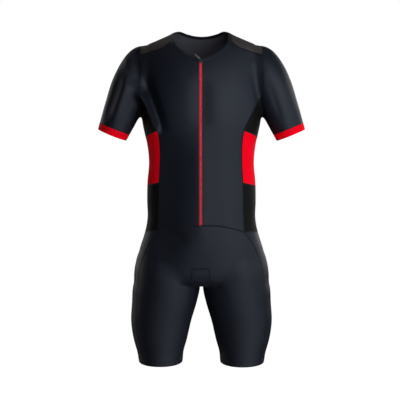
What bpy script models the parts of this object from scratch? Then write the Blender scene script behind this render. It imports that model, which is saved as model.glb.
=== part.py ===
"""A short-sleeved, one-piece triathlon suit with a front zip, filled out with no wearer.

Metres, +Z up. The wearer faces -Y, so +X is the wearer's left. The origin is on the middle line of the
suit, level with the slope of the shoulders, where the wearer holds it up.

The figure that the cloth is cut for is one smooth form: trunk, sleeves and legs, each a table of rounded
sections, blended where they meet. Each cut piece is a patch of that form between its seams, turned into a
wall. Neighbours share their seam's points and stop half a seam gap short of it on each side.
"""

import math

import bmesh
import bpy
import numpy as np
from mathutils import Vector

for leftover in list(bpy.data.objects):
    bpy.data.objects.remove(leftover, do_unlink=True)

# ------------------------------------------------------------------------------------------------ sizes
WALL = 0.0015  # knitted cloth
BAND_WALL = 0.0021  # folded double: neck band, sleeve bands, leg bands
BAND_LIFT = 0.0003  # how far a band stands proud of the panel that it finishes
SEAM_GAP = 0.0003  # between neighbouring pieces

NECK_BAND = 0.009  # width of the neck band
SLEEVE_BAND = 0.0195  # width of the red sleeve band
LEG_BAND = 0.0145  # width of the leg hem
HEM_HEIGHT = -0.9125  # lower edge of the legs, at their sides
HEM_TILT = 0.05  # how much the leg hem drops for each metre forward

ARMHOLE_X = 0.171  # the armhole seams lie in this upright plane
ARMHOLE_MIDDLE = -0.12
APEX = -0.150  # height where the under-arm panels' seams leave the armhole
UNDER_SLEEVE_TURN = 165.0  # where the under-sleeve's seam ends at the band, degrees round from the top

ZIP_OPENING = 0.0045  # from the middle to each front edge
ZIP_TOP = -0.0575
CHAIN_HALF = 0.0030  # half the width of the closed teeth
CHAIN_PROUD = 0.0006
CHAIN_THICK = 0.0023
CHAIN_TOP, CHAIN_END = -0.0660, -0.5105
TAPE_UNDER = 0.0022  # how deep the tapes lie under the cloth's outer face
TAPE_INNER = 0.0022
TAPE_OUTER = 0.0145
TAPE_WALL = 0.0010

# Slider. Its plates lie along the cloth; "high" is how far out from the cloth's outer face.
SLIDER_HEIGHT = -0.0600
SLIDER_LONG, SLIDER_TOP_WIDE, SLIDER_END_WIDE = 0.0110, 0.0086, 0.0064
SLIDER_CORNER = 0.0018
FRONT_PLATE_LOW, FRONT_PLATE_HIGH = 0.0009, 0.0031
BACK_PLATE_LOW, BACK_PLATE_HIGH = -0.0050, -0.0038
POST_WIDE, POST_LONG, POST_CORNER = 0.0028, 0.0042, 0.0006  # between the plates, at the upper end
BAIL_UP = 0.0008  # from the slider's middle to the bail's
BAIL_WIDE, BAIL_BAR = 0.0020, 0.0012
BAIL_INNER_LONG, BAIL_INNER_HIGH = 0.0030, 0.0024
SINK = 0.0004  # how far joined parts run into each other

# Pull tab: a plate whose end bar lies in the bail.
TAB_TURN = math.radians(42.7)  # above level, towards the wearer's right
TAB_LONG, TAB_WIDE, TAB_THICK = 0.0250, 0.0075, 0.0014
TAB_BAR = 0.0013
TAB_HOLE_LONG, TAB_HOLE_WIDE = 0.0032, 0.0042
TAB_END_CORNER, TAB_BAR_CORNER, TAB_HOLE_CORNER = 0.0030, 0.0012, 0.0009
CORNER_STEPS = 4

# How many quads each seam is divided into; neighbours share the count.
HALF_STEPS = 8  # across half the front or back
YOKE_ROUND, YOKE_LONG = 6, 4
ARMHOLE_STEPS, ARMPIT_STEPS = 6, 6
UNDERARM_STEPS, RED_STEPS, LOWER_STEPS = 4, 5, 5
SLEEVE_LONG = 9
CENTRE_STEPS, GUSSET_TOP_STEPS, GUSSET_SEAM_STEPS, INSEAM_STEPS = 5, 2, 8, 5
GUSSET_WIDE = 6


def table(names, rows):
    """A dictionary of columns, from rows with named columns."""
    return {name: np.array(column, float) for name, column in zip(names.split(), zip(*rows))}


# Trunk, from the neck down: half width, and depth in front of and behind the middle.
TRUNK = table(
    "height half_width front back square",
    (
        (0.0330, 0.0480, 0.046, 0.048, 2.0),
        (0.0231, 0.0733, 0.051, 0.055, 2.0),
        (0.0114, 0.0980, 0.057, 0.061, 2.0),
        (0.0000, 0.1240, 0.063, 0.068, 2.0),
        (-0.0114, 0.1500, 0.069, 0.076, 2.0),
        (-0.0220, 0.1625, 0.074, 0.083, 2.0),
        (-0.0500, 0.1680, 0.087, 0.098, 2.05),
        (-0.1000, 0.1680, 0.104, 0.113, 2.15),
        (-0.1500, 0.1675, 0.1140, 0.119, 2.25),
        (-0.2000, 0.1675, 0.1180, 0.117, 2.3),
        (-0.2280, 0.1665, 0.1170, 0.114, 2.3),
        (-0.2570, 0.1610, 0.1150, 0.110, 2.3),
        (-0.2850, 0.1545, 0.1120, 0.105, 2.3),
        (-0.3420, 0.1485, 0.1060, 0.098, 2.3),
        (-0.3990, 0.1530, 0.1040, 0.095, 2.3),
        (-0.4560, 0.1540, 0.1055, 0.098, 2.3),
        (-0.4990, 0.1530, 0.1080, 0.104, 2.3),
        (-0.5270, 0.1570, 0.1100, 0.110, 2.3),
        (-0.5560, 0.1650, 0.1115, 0.118, 2.3),
        (-0.5840, 0.1740, 0.1125, 0.125, 2.3),
        (-0.6270, 0.1835, 0.1110, 0.130, 2.3),
        (-0.6560, 0.1860, 0.1050, 0.1255, 2.3),
        (-0.6740, 0.1840, 0.0930, 0.1130, 2.3),
        (-0.6850, 0.1800, 0.0720, 0.092, 2.3),
        (-0.6910, 0.1740, 0.0420, 0.055, 2.3),
        (-0.6940, 0.1700, 0.0050, 0.006, 2.3),
    ),
)

# Leg: middle of the section to the side, half width, depth in front and behind.
LEG = table(
    "height middle half_width front back",
    (
        (-0.5650, 0.1080, 0.0100, 0.010, 0.010),
        (-0.6000, 0.1060, 0.0640, 0.074, 0.090),
        (-0.6300, 0.1030, 0.0810, 0.098, 0.114),
        (-0.6560, 0.1005, 0.0890, 0.1035, 0.122),
        (-0.6840, 0.0985, 0.0940, 0.1035, 0.1215),
        (-0.6980, 0.0998, 0.0955, 0.1020, 0.1185),
        (-0.7410, 0.1055, 0.0926, 0.0950, 0.1050),
        (-0.7980, 0.1154, 0.0855, 0.085, 0.088),
        (-0.8550, 0.1177, 0.0745, 0.076, 0.078),
        (-0.8835, 0.1177, 0.0665, 0.071, 0.073),
        (-0.9120, 0.1165, 0.0625, 0.0685, 0.070),
        (-0.9400, 0.1160, 0.0600, 0.066, 0.068),
    ),
)

# Sleeve, along its slanted middle line: half width in the plane of the shoulders, half depth, and the
# middle's place from front to back. "along" is 0 near the shoulder joint.
SLEEVE_START = np.array((0.1646, -0.0528))  # x and z where "along" is 0
SLEEVE_SLANT = math.radians(22.3)  # from upright
SLEEVE_END = 0.2295  # where the sleeve band ends
SLEEVE = table(
    "along half_width half_depth middle",
    (
        (-0.0400, 0.0020, 0.004, 0.000),
        (-0.0310, 0.0215, 0.026, 0.000),
        (-0.0160, 0.0370, 0.041, 0.000),
        (0.0016, 0.0460, 0.050, -0.001),
        (0.0300, 0.0535, 0.058, -0.002),
        (0.0855, 0.0575, 0.061, -0.005),
        (0.1470, 0.0524, 0.057, -0.008),
        (0.2020, 0.0462, 0.052, -0.010),
        (0.2295, 0.0427, 0.0495, -0.011),
        (0.2600, 0.0400, 0.0475, -0.012),
    ),
)
SHOULDER_BLEND, HIP_BLEND, CROTCH_BLEND = 0.016, 0.014, 0.008
SLEEVE_SQUARE, LEG_SQUARE = 2.0, 2.1  # 2 is an ellipse
RIDGE_START = -0.03  # height under the shoulder's ridge that rays up to it start from

# Neck edge, from the front middle over the shoulder to the back middle. face is -1 on the front, 0 on
# the shoulder's ridge and 1 on the back.
NECK_EDGE = table(
    "x height face",
    (
        (0.0045, -0.0548, -1),
        (0.0240, -0.0470, -1),
        (0.0439, -0.0362, -1),
        (0.0597, -0.0237, -1),
        (0.0700, -0.0125, -1),
        (0.0753, -0.0026, -1),
        (0.0762, 0.0105, -1),
        (0.0733, 0.0231, 0),
        (0.0640, 0.0256, 1),
        (0.0430, 0.0203, 1),
        (0.0210, 0.0152, 1),
        (0.0000, 0.0133, 1),
    ),
)
NECK_FRONT_CORNER, NECK_BACK_CORNER = 5, 9  # the rows where the yoke's two seams meet the neck

# Seams as they show from the front, and the same from behind: x and height.
YOKE_SEAM = table(
    "x height",
    (
        (0.0840, -0.0050),
        (0.1025, -0.0205),
        (0.1240, -0.0290),
        (0.1555, -0.0382),
        (0.1710, -0.0420),
    ),
)
YOKE_BACK = table("x height", ((0.1710, -0.0420),))
YOKE_LEAD = 0.012  # rows of a yoke seam nearer the neck band than this are left out
SIDE_SEAM = table(
    "x height",
    (
        (0.1710, APEX),
        (0.1530, -0.1790),
        (0.1350, -0.2130),
        (0.1192, -0.2508),
        (0.1142, -0.2820),
        (0.1130, -0.3250),
        (0.1165, -0.3970),
        (0.1175, -0.4650),
        (0.1205, -0.5317),
    ),
)
WAIST_SEAM = table(
    "x height",
    (
        (0.0000, -0.5115),
        (0.0532, -0.5131),
        (0.0795, -0.5190),
        (0.1055, -0.5260),
        (0.1205, -0.5317),
    ),
)
WAIST_BACK = table("x height", ((0.0000, -0.5200), (0.0600, -0.5230), (0.1205, -0.5317)))
# The shorts' side seams: how far they are turned round the leg from straight out, in front and behind.
SHORTS_SEAM = table(
    "height turn_front turn_back",
    (
        (-0.5317, 51.6, 51.9),
        (-0.5650, 40.0, 42.0),
        (-0.6000, 35.0, 38.0),
        (-0.6500, 34.5, 38.0),
        (-0.7000, 34.8, 38.3),
        (-0.7500, 35.7, 38.8),
        (-0.8000, 39.0, 40.5),
        (-0.8500, 42.8, 43.7),
        (-0.8990, 45.0, 46.4),
    ),
)
# Edges that cross the side, from the front seam (share 0) to the back seam (share 1).
RED_TOP = table("share height", ((0.0, -0.2508), (0.5, -0.2745), (1.0, -0.2790)))
RED_BOTTOM = table("share height", ((0.0, -0.3970), (0.5, -0.4110), (1.0, -0.4140)))
WAIST_SIDE = table("share height", ((0.0, -0.5317), (0.5, -0.5365), (1.0, -0.5317)))

# Heights where the rows that leave the armhole's two corners and the red panel's edges reach the middle.
MIDDLE_ROWS = table("front back", ((-0.088, -0.030), (-0.178, -0.160), (-0.262, -0.268), (-0.402, -0.405)))

# Crotch gusset: its straight top edges, then its seam down the inside of the leg to a point.
GUSSET_HALF = 0.0234
GUSSET_TOP_FRONT, GUSSET_TOP_BACK = -0.631, -0.606
GUSSET_ROW_RISE = 0.015  # how much higher the row along its top edge meets the shorts' side seam
# Its height and how far it is turned from the innermost line of the leg, in front and behind.
GUSSET_SEAM = table(
    "height turn_front turn_back",
    (
        (-0.684, 50.0, 62.0),
        (-0.706, 45.0, 52.0),
        (-0.730, 42.0, 45.0),
        (-0.752, 36.0, 38.0),
        (-0.772, 26.0, 28.0),
        (-0.789, 12.0, 13.0),
    ),
)
GUSSET_TIP = -0.797
GUSSET_BEND_HALF, GUSSET_BEND = 0.0249, -0.655  # where its seam turns outwards: x and height
GUSSET_CORE = -0.62  # height of the point that its middle line is swept round
GUSSET_SWEEP, GUSSET_CLEAR = 13, 0.01  # points round it, and how far they start below the top edges

# Folds in the cloth: a line on the front as it shows, its half width and how far it stands out.
FOLDS = table(
    "x_from height_from x_to height_to width out",
    (
        (-0.2120, -0.0950, -0.2490, -0.2250, 0.011, -0.0045),  # trough down the right sleeve
        (-0.1930, -0.1050, -0.2330, -0.2330, 0.010, 0.0025),  # and the ridge beside it
        (0.2060, -0.0700, 0.2560, -0.2050, 0.014, 0.0020),
        (0.1830, -0.1050, 0.2260, -0.2350, 0.010, -0.0020),
        (-0.1650, -0.1350, -0.1230, -0.2450, 0.010, 0.0022),  # ridges beside the under-arm seams
        (0.1650, -0.1350, 0.1230, -0.2450, 0.010, 0.0018),
        (-0.0600, -0.6800, -0.0330, -0.6850, 0.006, -0.0022),  # short folds where the legs part
        (0.0600, -0.6790, 0.0360, -0.6850, 0.006, -0.0022),
    ),
)
FOLD_FADE = 0.03  # folds fade out this near the sides

# Middle line of one half of the shorts, that its pieces are swept round.
SHORTS_CORE = table(
    "height x",
    (
        (-0.960, 0.1160),
        (-0.860, 0.1177),
        (-0.800, 0.1154),
        (-0.750, 0.1065),
        (-0.700, 0.1000),
        (-0.660, 0.0900),
        (-0.600, 0.0750),
        (-0.500, 0.0500),
    ),
)


# ------------------------------------------------------------------------------------------------ form
def smooth_at(places, values, at):
    """Reads a column at any place, on a smooth curve through its rows."""
    if places[0] > places[-1]:
        places, values = places[::-1], values[::-1]
    at = np.clip(at, places[0], places[-1])
    slopes = np.gradient(values, places)
    k = np.clip(np.searchsorted(places, at, side="right") - 1, 0, len(places) - 2)
    width = places[k + 1] - places[k]
    t = (at - places[k]) / width
    start, end = values[k], values[k + 1]
    leaving, arriving = slopes[k] * width, slopes[k + 1] * width
    rest = 1 - t
    held = start * (1 + 2 * t) * rest**2 + end * t**2 * (3 - 2 * t)
    return held + leaving * t * rest**2 - arriving * t**2 * rest


def past_section(across, forward, half_width, front, back, square):
    """How far a point is outside a rounded section, level with it; negative inside."""
    depth = np.where(forward < 0, front, back)
    share = ((np.abs(across) / half_width) ** square + (np.abs(forward) / depth) ** square) ** (1 / square)
    reach = np.hypot(across, forward) + 1e-6
    return reach - reach / np.maximum(share, 1e-4)


def blend(a, b, width):
    """The smaller of two distances, rounded off over a width."""
    near = np.maximum(width - np.abs(a - b), 0) / width
    return np.minimum(a, b) - near**2 * width / 4


def sleeve_place(points):
    """Turns points into the sleeve's own measures: outwards, along, and front to back."""
    dx, dz = points[..., 0] - SLEEVE_START[0], points[..., 2] - SLEEVE_START[1]
    outwards = dx * math.cos(SLEEVE_SLANT) + dz * math.sin(SLEEVE_SLANT)
    along = dx * math.sin(SLEEVE_SLANT) - dz * math.cos(SLEEVE_SLANT)
    return outwards, along, points[..., 1] - smooth_at(SLEEVE["along"], SLEEVE["middle"], along)


def past_form(points):
    """How far points are outside the whole form; negative inside."""
    points = points * np.where(points[..., :1] < 0, (-1.0, 1.0, 1.0), (1.0, 1.0, 1.0))
    x, y, z = points[..., 0], points[..., 1], points[..., 2]
    trunk = past_section(
        x, y, *(smooth_at(TRUNK["height"], TRUNK[k], z) for k in ("half_width", "front", "back", "square"))
    )
    outwards, along, forward = sleeve_place(points)
    width = smooth_at(SLEEVE["along"], SLEEVE["half_width"], along)
    depth = smooth_at(SLEEVE["along"], SLEEVE["half_depth"], along)
    sleeve = past_section(outwards, forward, width, depth, depth, SLEEVE_SQUARE)
    sleeve = np.where(along < SLEEVE["along"][0], 1.0, sleeve)
    size = [smooth_at(LEG["height"], LEG[k], z) for k in ("half_width", "front", "back")]
    middle = smooth_at(LEG["height"], LEG["middle"], z)
    legs = blend(
        past_section(x - middle, y, *size, LEG_SQUARE),
        past_section(x + middle, y, *size, LEG_SQUARE),
        CROTCH_BLEND,
    )
    legs = np.where(z > LEG["height"][0], 1.0, legs)
    trunk = np.where(z < TRUNK["height"][-1], 1.0, trunk)
    return blend(blend(trunk, sleeve, SHOULDER_BLEND), legs, HIP_BLEND)


def slope(points, step=0.0006):
    """How the distance grows along X, Y and Z at each point."""
    points = np.asarray(points, float)
    return np.stack(
        [(past_form(points + d) - past_form(points - d)) / (2 * step) for d in np.eye(3) * step], axis=-1
    )


def outward(points):
    """The form's outward direction at each point."""
    steep = slope(points)
    return steep / np.linalg.norm(steep, axis=-1, keepdims=True)


def settle(points, rounds=12):
    """Moves points that are near the form straight onto it."""
    points = np.array(points, float)
    for _ in range(rounds):
        steep = slope(points)
        move = past_form(points)[..., None] * steep / np.maximum((steep**2).sum(-1, keepdims=True), 0.05)
        points -= np.clip(move, -0.004, 0.004)
    return points


def cast(starts, ways, far=0.36, step=0.0025):
    """Where rays from inside the form first leave it."""
    starts, ways = np.broadcast_arrays(np.asarray(starts, float), np.asarray(ways, float))
    ways = ways / np.linalg.norm(ways, axis=-1, keepdims=True)
    inside = np.zeros(starts.shape[:-1])
    found = np.zeros(starts.shape[:-1], bool)
    for reach in np.arange(step, far, step):
        found |= past_form(starts + ways * reach) > 0
        inside = np.where(found, inside, reach)
        if found.all():
            break
    outside = inside + step
    for _ in range(22):
        half = (inside + outside) / 2
        out = past_form(starts + ways * half[..., None]) > 0
        outside, inside = np.where(out, half, outside), np.where(out, inside, half)
    return starts + ways * ((inside + outside) / 2)[..., None]


def stack(*columns):
    return np.stack(np.broadcast_arrays(*[np.asarray(c, float) for c in columns]), axis=-1)


def on_face(x, height, face):
    """The points of the front (-1), the back (1) or the ridge (0) at these places, seen from the front."""
    x, height, face = np.broadcast_arrays(*(np.asarray(value, float) for value in (x, height, face)))
    low = np.where(face == 0, RIDGE_START, height)
    return cast(stack(x, 0, low), stack(0, face, np.where(face == 0, 1.0, 0.0)))


def curve(points, count):
    """Divides a smooth line through points into equal stretches, with its ends kept."""
    points = np.asarray(points, float)
    along = np.concatenate([[0], np.cumsum(np.linalg.norm(np.diff(points, axis=0), axis=1))])
    fine = np.linspace(0, along[-1], 400)
    line = np.stack([smooth_at(along, points[:, k], fine) for k in range(3)], axis=1)
    length = np.concatenate([[0], np.cumsum(np.linalg.norm(np.diff(line, axis=0), axis=1))])
    at = np.linspace(0, length[-1], count + 1)
    return np.stack([np.interp(at, length, line[:, k]) for k in range(3)], axis=1)


def seam(points, count):
    """A seam line on the form, in equal stretches, through points on it."""
    line = curve(points, count)
    line[1:-1] = settle(line[1:-1])
    line[np.abs(line[:, 0]) < 1e-5, 0] = 0.0
    return line


def spaced(stops, counts):
    """Places in equal steps between stops, each stretch with its own count."""
    return joined(*(np.linspace(a, b, n + 1) for a, b, n in zip(stops, stops[1:], counts)))


def joined(*lines):
    """Lines end to end, with each shared end once."""
    return np.concatenate([lines[0]] + [line[1:] for line in lines[1:]])


# ---------------------------------------------------------------------------------------------- charts
# A chart gives each point of a region two measures, and finds the point again from them.
class FaceChart:
    """The front or the back as it shows from the front: x and height."""

    def __init__(self, face):
        self.face = face

    def measure(self, points):
        return points[..., 0], points[..., 2]

    def point(self, x, height):
        return on_face(x, height, self.face)


class RoundChart:
    """Round an upright middle line: turn and height. The turn jumps at `cut`."""

    def __init__(self, core, cut):
        self.core, self.cut = core, math.radians(cut)

    def measure(self, points):
        turn = np.arctan2(points[..., 1], points[..., 0] - self.core(points[..., 2]))
        return self.cut + np.mod(turn - self.cut, 2 * math.pi), points[..., 2]

    def point(self, turn, height):
        return cast(stack(self.core(height), 0, height), stack(np.cos(turn), np.sin(turn), 0))


class YokeChart:
    """Over the shoulder's ridge: x, and the turn about a level line under it."""

    deep = -0.10

    def measure(self, points):
        return points[..., 0], np.arctan2(points[..., 1], points[..., 2] - self.deep)

    def point(self, x, turn):
        return cast(stack(x, 0, self.deep), stack(0, np.sin(turn), np.cos(turn)))


class NearChart:
    """Straight between the edges, then onto the form: for small saddle-shaped pieces."""

    def measure(self, points):
        return points[..., 0], points[..., 1], points[..., 2]

    def point(self, x, y, z):
        return settle(stack(x, y, z), 30)


class SleeveChart:
    """Round the sleeve's middle line: turn from the top towards the front, and the way along."""

    def __init__(self, cut):
        self.cut = math.radians(cut)

    def measure(self, points):
        outwards, along, forward = sleeve_place(points)
        return self.cut + np.mod(np.arctan2(-forward, outwards) - self.cut, 2 * math.pi), along

    def point(self, turn, along):
        level, rise = math.cos(SLEEVE_SLANT), math.sin(SLEEVE_SLANT)
        middle = smooth_at(SLEEVE["along"], SLEEVE["middle"], along)
        start = stack(SLEEVE_START[0] + along * rise, middle, SLEEVE_START[1] - along * level)
        return cast(start, stack(np.cos(turn) * level, -np.sin(turn), np.cos(turn) * rise))


def shorts_core(height):
    return smooth_at(SHORTS_CORE["height"], SHORTS_CORE["x"], height)


def trunk_core(height):
    return np.zeros(np.shape(height))


def patch(chart, top, bottom, left, right):
    """The grid of points between four edges: rows run from top to bottom, columns from left to right."""
    down, across = np.linspace(0, 1, len(left))[:, None], np.linspace(0, 1, len(top))[None, :]
    measures = []
    for t, b, lf, rt in zip(*(chart.measure(edge) for edge in (top, bottom, left, right))):
        ruled = lf[:, None] * (1 - across) + rt[:, None] * across
        hung = t[None, :] * (1 - down) + b[None, :] * down
        corner = (t[0] * (1 - across) + t[-1] * across) * (1 - down)
        corner = corner + (b[0] * (1 - across) + b[-1] * across) * down
        measures.append(ruled + hung - corner)
    grid = chart.point(*measures)
    grid[0], grid[-1], grid[:, 0], grid[:, -1] = top, bottom, left, right
    return grid


# ---------------------------------------------------------------------------------------------- pieces
BLACK, GREY_BLACK, MESH = (0.012, 0.014, 0.019), (0.020, 0.021, 0.025), (0.030, 0.025, 0.024)
RED, PULL_GREY = (0.72, 0.006, 0.020), (0.30, 0.31, 0.31)


def finish(name, colour, roughness, metallic=0.0):
    material = bpy.data.materials.new(name)
    material.use_nodes = True
    shader = material.node_tree.nodes["Principled BSDF"]
    shader.inputs["Base Color"].default_value = (*colour, 1.0)
    shader.inputs["Roughness"].default_value = roughness
    shader.inputs["Metallic"].default_value = metallic
    material.diffuse_color = (*colour, 1.0)
    return material


def add(name, body, look):
    """Adds a bmesh to the scene as one named object with its own material."""
    bmesh.ops.recalc_face_normals(body, faces=body.faces)
    mesh = bpy.data.meshes.new(name)
    body.to_mesh(mesh)
    body.free()
    mesh.shade_smooth()
    mesh.set_sharp_from_angle(angle=math.radians(40))
    thing = bpy.data.objects.new(name, mesh)
    mesh.materials.append(finish(name, *look))
    bpy.context.scene.collection.objects.link(thing)
    return thing


def fold_height(points):
    """How far the folds lift the cloth of the front, at each point."""
    x, z = points[..., 0], points[..., 2]
    lift = np.zeros(x.shape)
    for x0, z0, x1, z1, width, out in zip(*FOLDS.values()):
        run = np.array((x1 - x0, z1 - z0))
        share = np.clip(((x - x0) * run[0] + (z - z0) * run[1]) / (run @ run), 0, 1)
        off = np.hypot(x - x0 - share * run[0], z - z0 - share * run[1])
        lift += out * np.exp(-((off / width) ** 2))
    return lift * np.clip(-points[..., 1] / FOLD_FADE, 0, 1)


def pulled_in(grid, out, edges):
    """Draws the named edges of a grid in by half a seam gap, square to the seam and along the form."""
    moved = grid.copy()
    for edge in edges:
        k, inner = {"top": (0, 1), "bottom": (-1, -2), "left": (0, 1), "right": (-1, -2)}[edge]
        across = edge in ("left", "right")
        lines, ways, target = (a.swapaxes(0, 1) if across else a for a in (grid, out, moved))
        inwards = np.cross(ways[k], np.gradient(lines[k], axis=0))
        inwards /= np.maximum(np.linalg.norm(inwards, axis=1, keepdims=True), 1e-9)
        side = np.sign(np.sum(inwards * (lines[inner] - lines[k])))
        target[k] += side * inwards * SEAM_GAP / 2
    return moved


def rim(body, a, b, twins):
    """Closes the wall along one edge. Both pieces at a seam split the twisted strip the same way."""
    span = b.co - a.co
    if span[max(range(3), key=lambda k: abs(span[k]))] < 0:
        a, b = b, a
    body.faces.new((a, b, twins[b]))
    body.faces.new((a, twins[b], twins[a]))


def cloth(name, grid, look, wall=WALL, lift=0.0, edges="top bottom left right", ring=False):
    """A wall of cloth: the grid is its outer face, and the wall goes inwards from it."""
    out = outward(grid)
    grid = grid + out * fold_height(grid)[..., None]
    outer = pulled_in(grid, out, edges.split()) + out * lift
    rows, columns = outer.shape[:2]
    body = bmesh.new()
    bmesh.ops.create_grid(body, x_segments=columns - 1, y_segments=rows - 1, size=0.5)
    place = {}
    for v in body.verts:
        place[v] = (round((0.5 - v.co.y) * (rows - 1)), round((v.co.x + 0.5) * (columns - 1)))
    inner = {}
    for v, (i, j) in place.items():
        v.co = outer[i, j]
        inner[v] = Vector(outer[i, j] - out[i, j] * wall)
    if ring:
        first = {i: v for v, (i, j) in place.items() if j == 0}
        last = {v: first[i] for v, (i, j) in place.items() if j == columns - 1}
        bmesh.ops.weld_verts(body, targetmap=last)
        inner = {v: co for v, co in inner.items() if v.is_valid}
    made = bmesh.ops.duplicate(body, geom=list(body.faces))
    twins = {v: made["vert_map"][v] for v in inner}
    for v, twin in twins.items():
        twin.co = inner[v]
    bmesh.ops.reverse_faces(body, faces=[g for g in made["geom"] if isinstance(g, bmesh.types.BMFace)])
    for edge in [e for e in body.edges if e.is_boundary and all(v in twins for v in e.verts)]:
        rim(body, *edge.verts, twins)
    return add(name, body, look)


def mirrored(grid):
    return grid * (-1.0, 1.0, 1.0)


def pair(name, grid, look, **how):
    """The wearer's left piece and its mirror image."""
    cloth(f"{name}_left", grid, look, **how)
    cloth(f"{name}_right", mirrored(grid), look, **how)


def both_halves(grid):
    """One piece across the middle, from a half whose first column is on the middle line."""
    return np.concatenate([mirrored(grid)[:, :0:-1], grid], axis=1)


# --------------------------------------------------------------------------- seams of the left half
def along_table(rows, face, heights):
    """A seam that falls steadily, on the front (-1) or the back (1), at the given heights."""
    return on_face(smooth_at(rows["height"], rows["x"], heights), heights, face)


def across_table(rows, face, places):
    """A seam that runs steadily outwards, on the front or the back, at the given x."""
    return on_face(places, smooth_at(rows["x"], rows["height"], places), face)


def neck_lines():
    """The neck edge and the neck band's lower line, each from the front over the yoke to the back."""
    points = on_face(NECK_EDGE["x"], NECK_EDGE["height"], NECK_EDGE["face"])
    along = np.concatenate([[0], np.cumsum(np.linalg.norm(np.diff(points, axis=0), axis=1))])
    stops = (0, NECK_FRONT_CORNER, NECK_BACK_CORNER, len(points) - 1)
    counts = (HALF_STEPS, YOKE_ROUND, HALF_STEPS)
    at = [np.linspace(along[a], along[b], n + 1)[bool(a) :] for a, b, n in zip(stops, stops[1:], counts)]
    at = np.concatenate(at)
    edge = settle(np.stack([smooth_at(along, points[:, k], at) for k in range(3)], axis=1))
    ways = np.cross(np.gradient(edge, axis=0), outward(edge))
    ways[[0, -1], 0] = 0.0
    ways /= np.linalg.norm(ways, axis=1, keepdims=True)
    lower = settle(edge + ways * NECK_BAND)
    for line in (edge, lower):
        line[0, 0], line[-1, 0] = ZIP_OPENING, 0.0
    return edge, lower


def yoke_seam(seam_rows, neck_corner, face):
    """From the neck band to the armhole."""
    keep = seam_rows["x"] > neck_corner[0] + YOKE_LEAD
    rows = {
        "x": np.concatenate([[neck_corner[0]], seam_rows["x"][keep]]),
        "height": np.concatenate([[neck_corner[2]], seam_rows["height"][keep]]),
    }
    line = across_table(rows, face, np.linspace(neck_corner[0], ARMHOLE_X, YOKE_LONG + 1))
    line[0] = neck_corner
    return line


def armhole_turn(point):
    return math.atan2(-point[1], point[2] - ARMHOLE_MIDDLE) % (2 * math.pi)


def armhole(start, end, count):
    """Round the armhole's upright plane; turns grow from the top towards the front."""
    turns = np.linspace(start, end, count + 1)
    return cast((ARMHOLE_X, 0, ARMHOLE_MIDDLE), stack(0, -np.sin(turns), np.cos(turns)))


def side_edge(rows, front_corner, back_corner):
    """An edge across the side of the trunk, between two corners, with its heights by share of the way."""
    share = np.linspace(0, 1, ARMPIT_STEPS + 1)
    turns = [math.atan2(corner[1], corner[0]) for corner in (front_corner, back_corner)]
    line = TRUNK_ROUND.point(
        turns[0] + (turns[1] - turns[0]) * share, smooth_at(rows["share"], rows["height"], share)
    )
    line[0], line[-1] = front_corner, back_corner
    return line


def hem_line(turns, up):
    """A line round the leg, a distance up from its hem."""
    level = HEM_HEIGHT + up
    height = np.full(len(turns), level)
    for _ in range(4):
        line = LEG_FRONT.point(turns, height)
        height = level + HEM_TILT * line[:, 1]
    return line


def shorts_side_seam(face, gusset_top, corner):
    """From the waist to the top of the leg band, on the front or the back."""
    turns = SHORTS_SEAM["turn_front" if face < 0 else "turn_back"] * face
    end = corner
    for _ in range(4):
        low = HEM_HEIGHT + LEG_BAND + HEM_TILT * end[1]
        end = LEG_FRONT.point(math.radians(turns[-1]), low)
    stops = (corner[2], gusset_top + GUSSET_ROW_RISE, gusset_top, end[2])
    heights = spaced(stops, (CENTRE_STEPS, GUSSET_TOP_STEPS, GUSSET_SEAM_STEPS + INSEAM_STEPS))
    line = LEG_FRONT.point(np.radians(smooth_at(SHORTS_SEAM["height"], turns, heights)), heights)
    line[0], line[-1] = corner, end
    return line


def gusset_seam(face, top):
    """From the corner of the gusset's top edge down the inside of the leg to its point."""
    upper = on_face((GUSSET_HALF, GUSSET_BEND_HALF), (top, GUSSET_BEND), face)
    turns = np.append(GUSSET_SEAM["turn_front" if face < 0 else "turn_back"], 0.0)
    heights = np.append(GUSSET_SEAM["height"], GUSSET_TIP)
    lower = LEG_FRONT.point(math.pi - face * np.radians(turns), heights)
    return seam(np.concatenate([upper, lower]), GUSSET_SEAM_STEPS)


TRUNK_ROUND = RoundChart(trunk_core, -180)
LEG_FRONT, LEG_BACK = RoundChart(shorts_core, 90), RoundChart(shorts_core, -90)
FRONT, BACK = FaceChart(-1), FaceChart(1)

neck_edge, neck_seam = neck_lines()
front_corner, back_corner = neck_seam[HALF_STEPS], neck_seam[HALF_STEPS + YOKE_ROUND]
yoke_front, yoke_back = yoke_seam(YOKE_SEAM, front_corner, -1), yoke_seam(YOKE_BACK, back_corner, 1)
front_apex, back_apex = on_face(ARMHOLE_X, APEX, -1), on_face(ARMHOLE_X, APEX, 1)
turns = [armhole_turn(point) for point in (yoke_front[-1], front_apex, back_apex, yoke_back[-1])]
armhole_front = armhole(turns[0], turns[1], ARMHOLE_STEPS)
armpit = armhole(turns[1], turns[2], ARMPIT_STEPS)
armhole_back = armhole(turns[2], turns[3], ARMHOLE_STEPS)
armhole_top = armhole(turns[0], turns[3] - 2 * math.pi, YOKE_ROUND)

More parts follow.
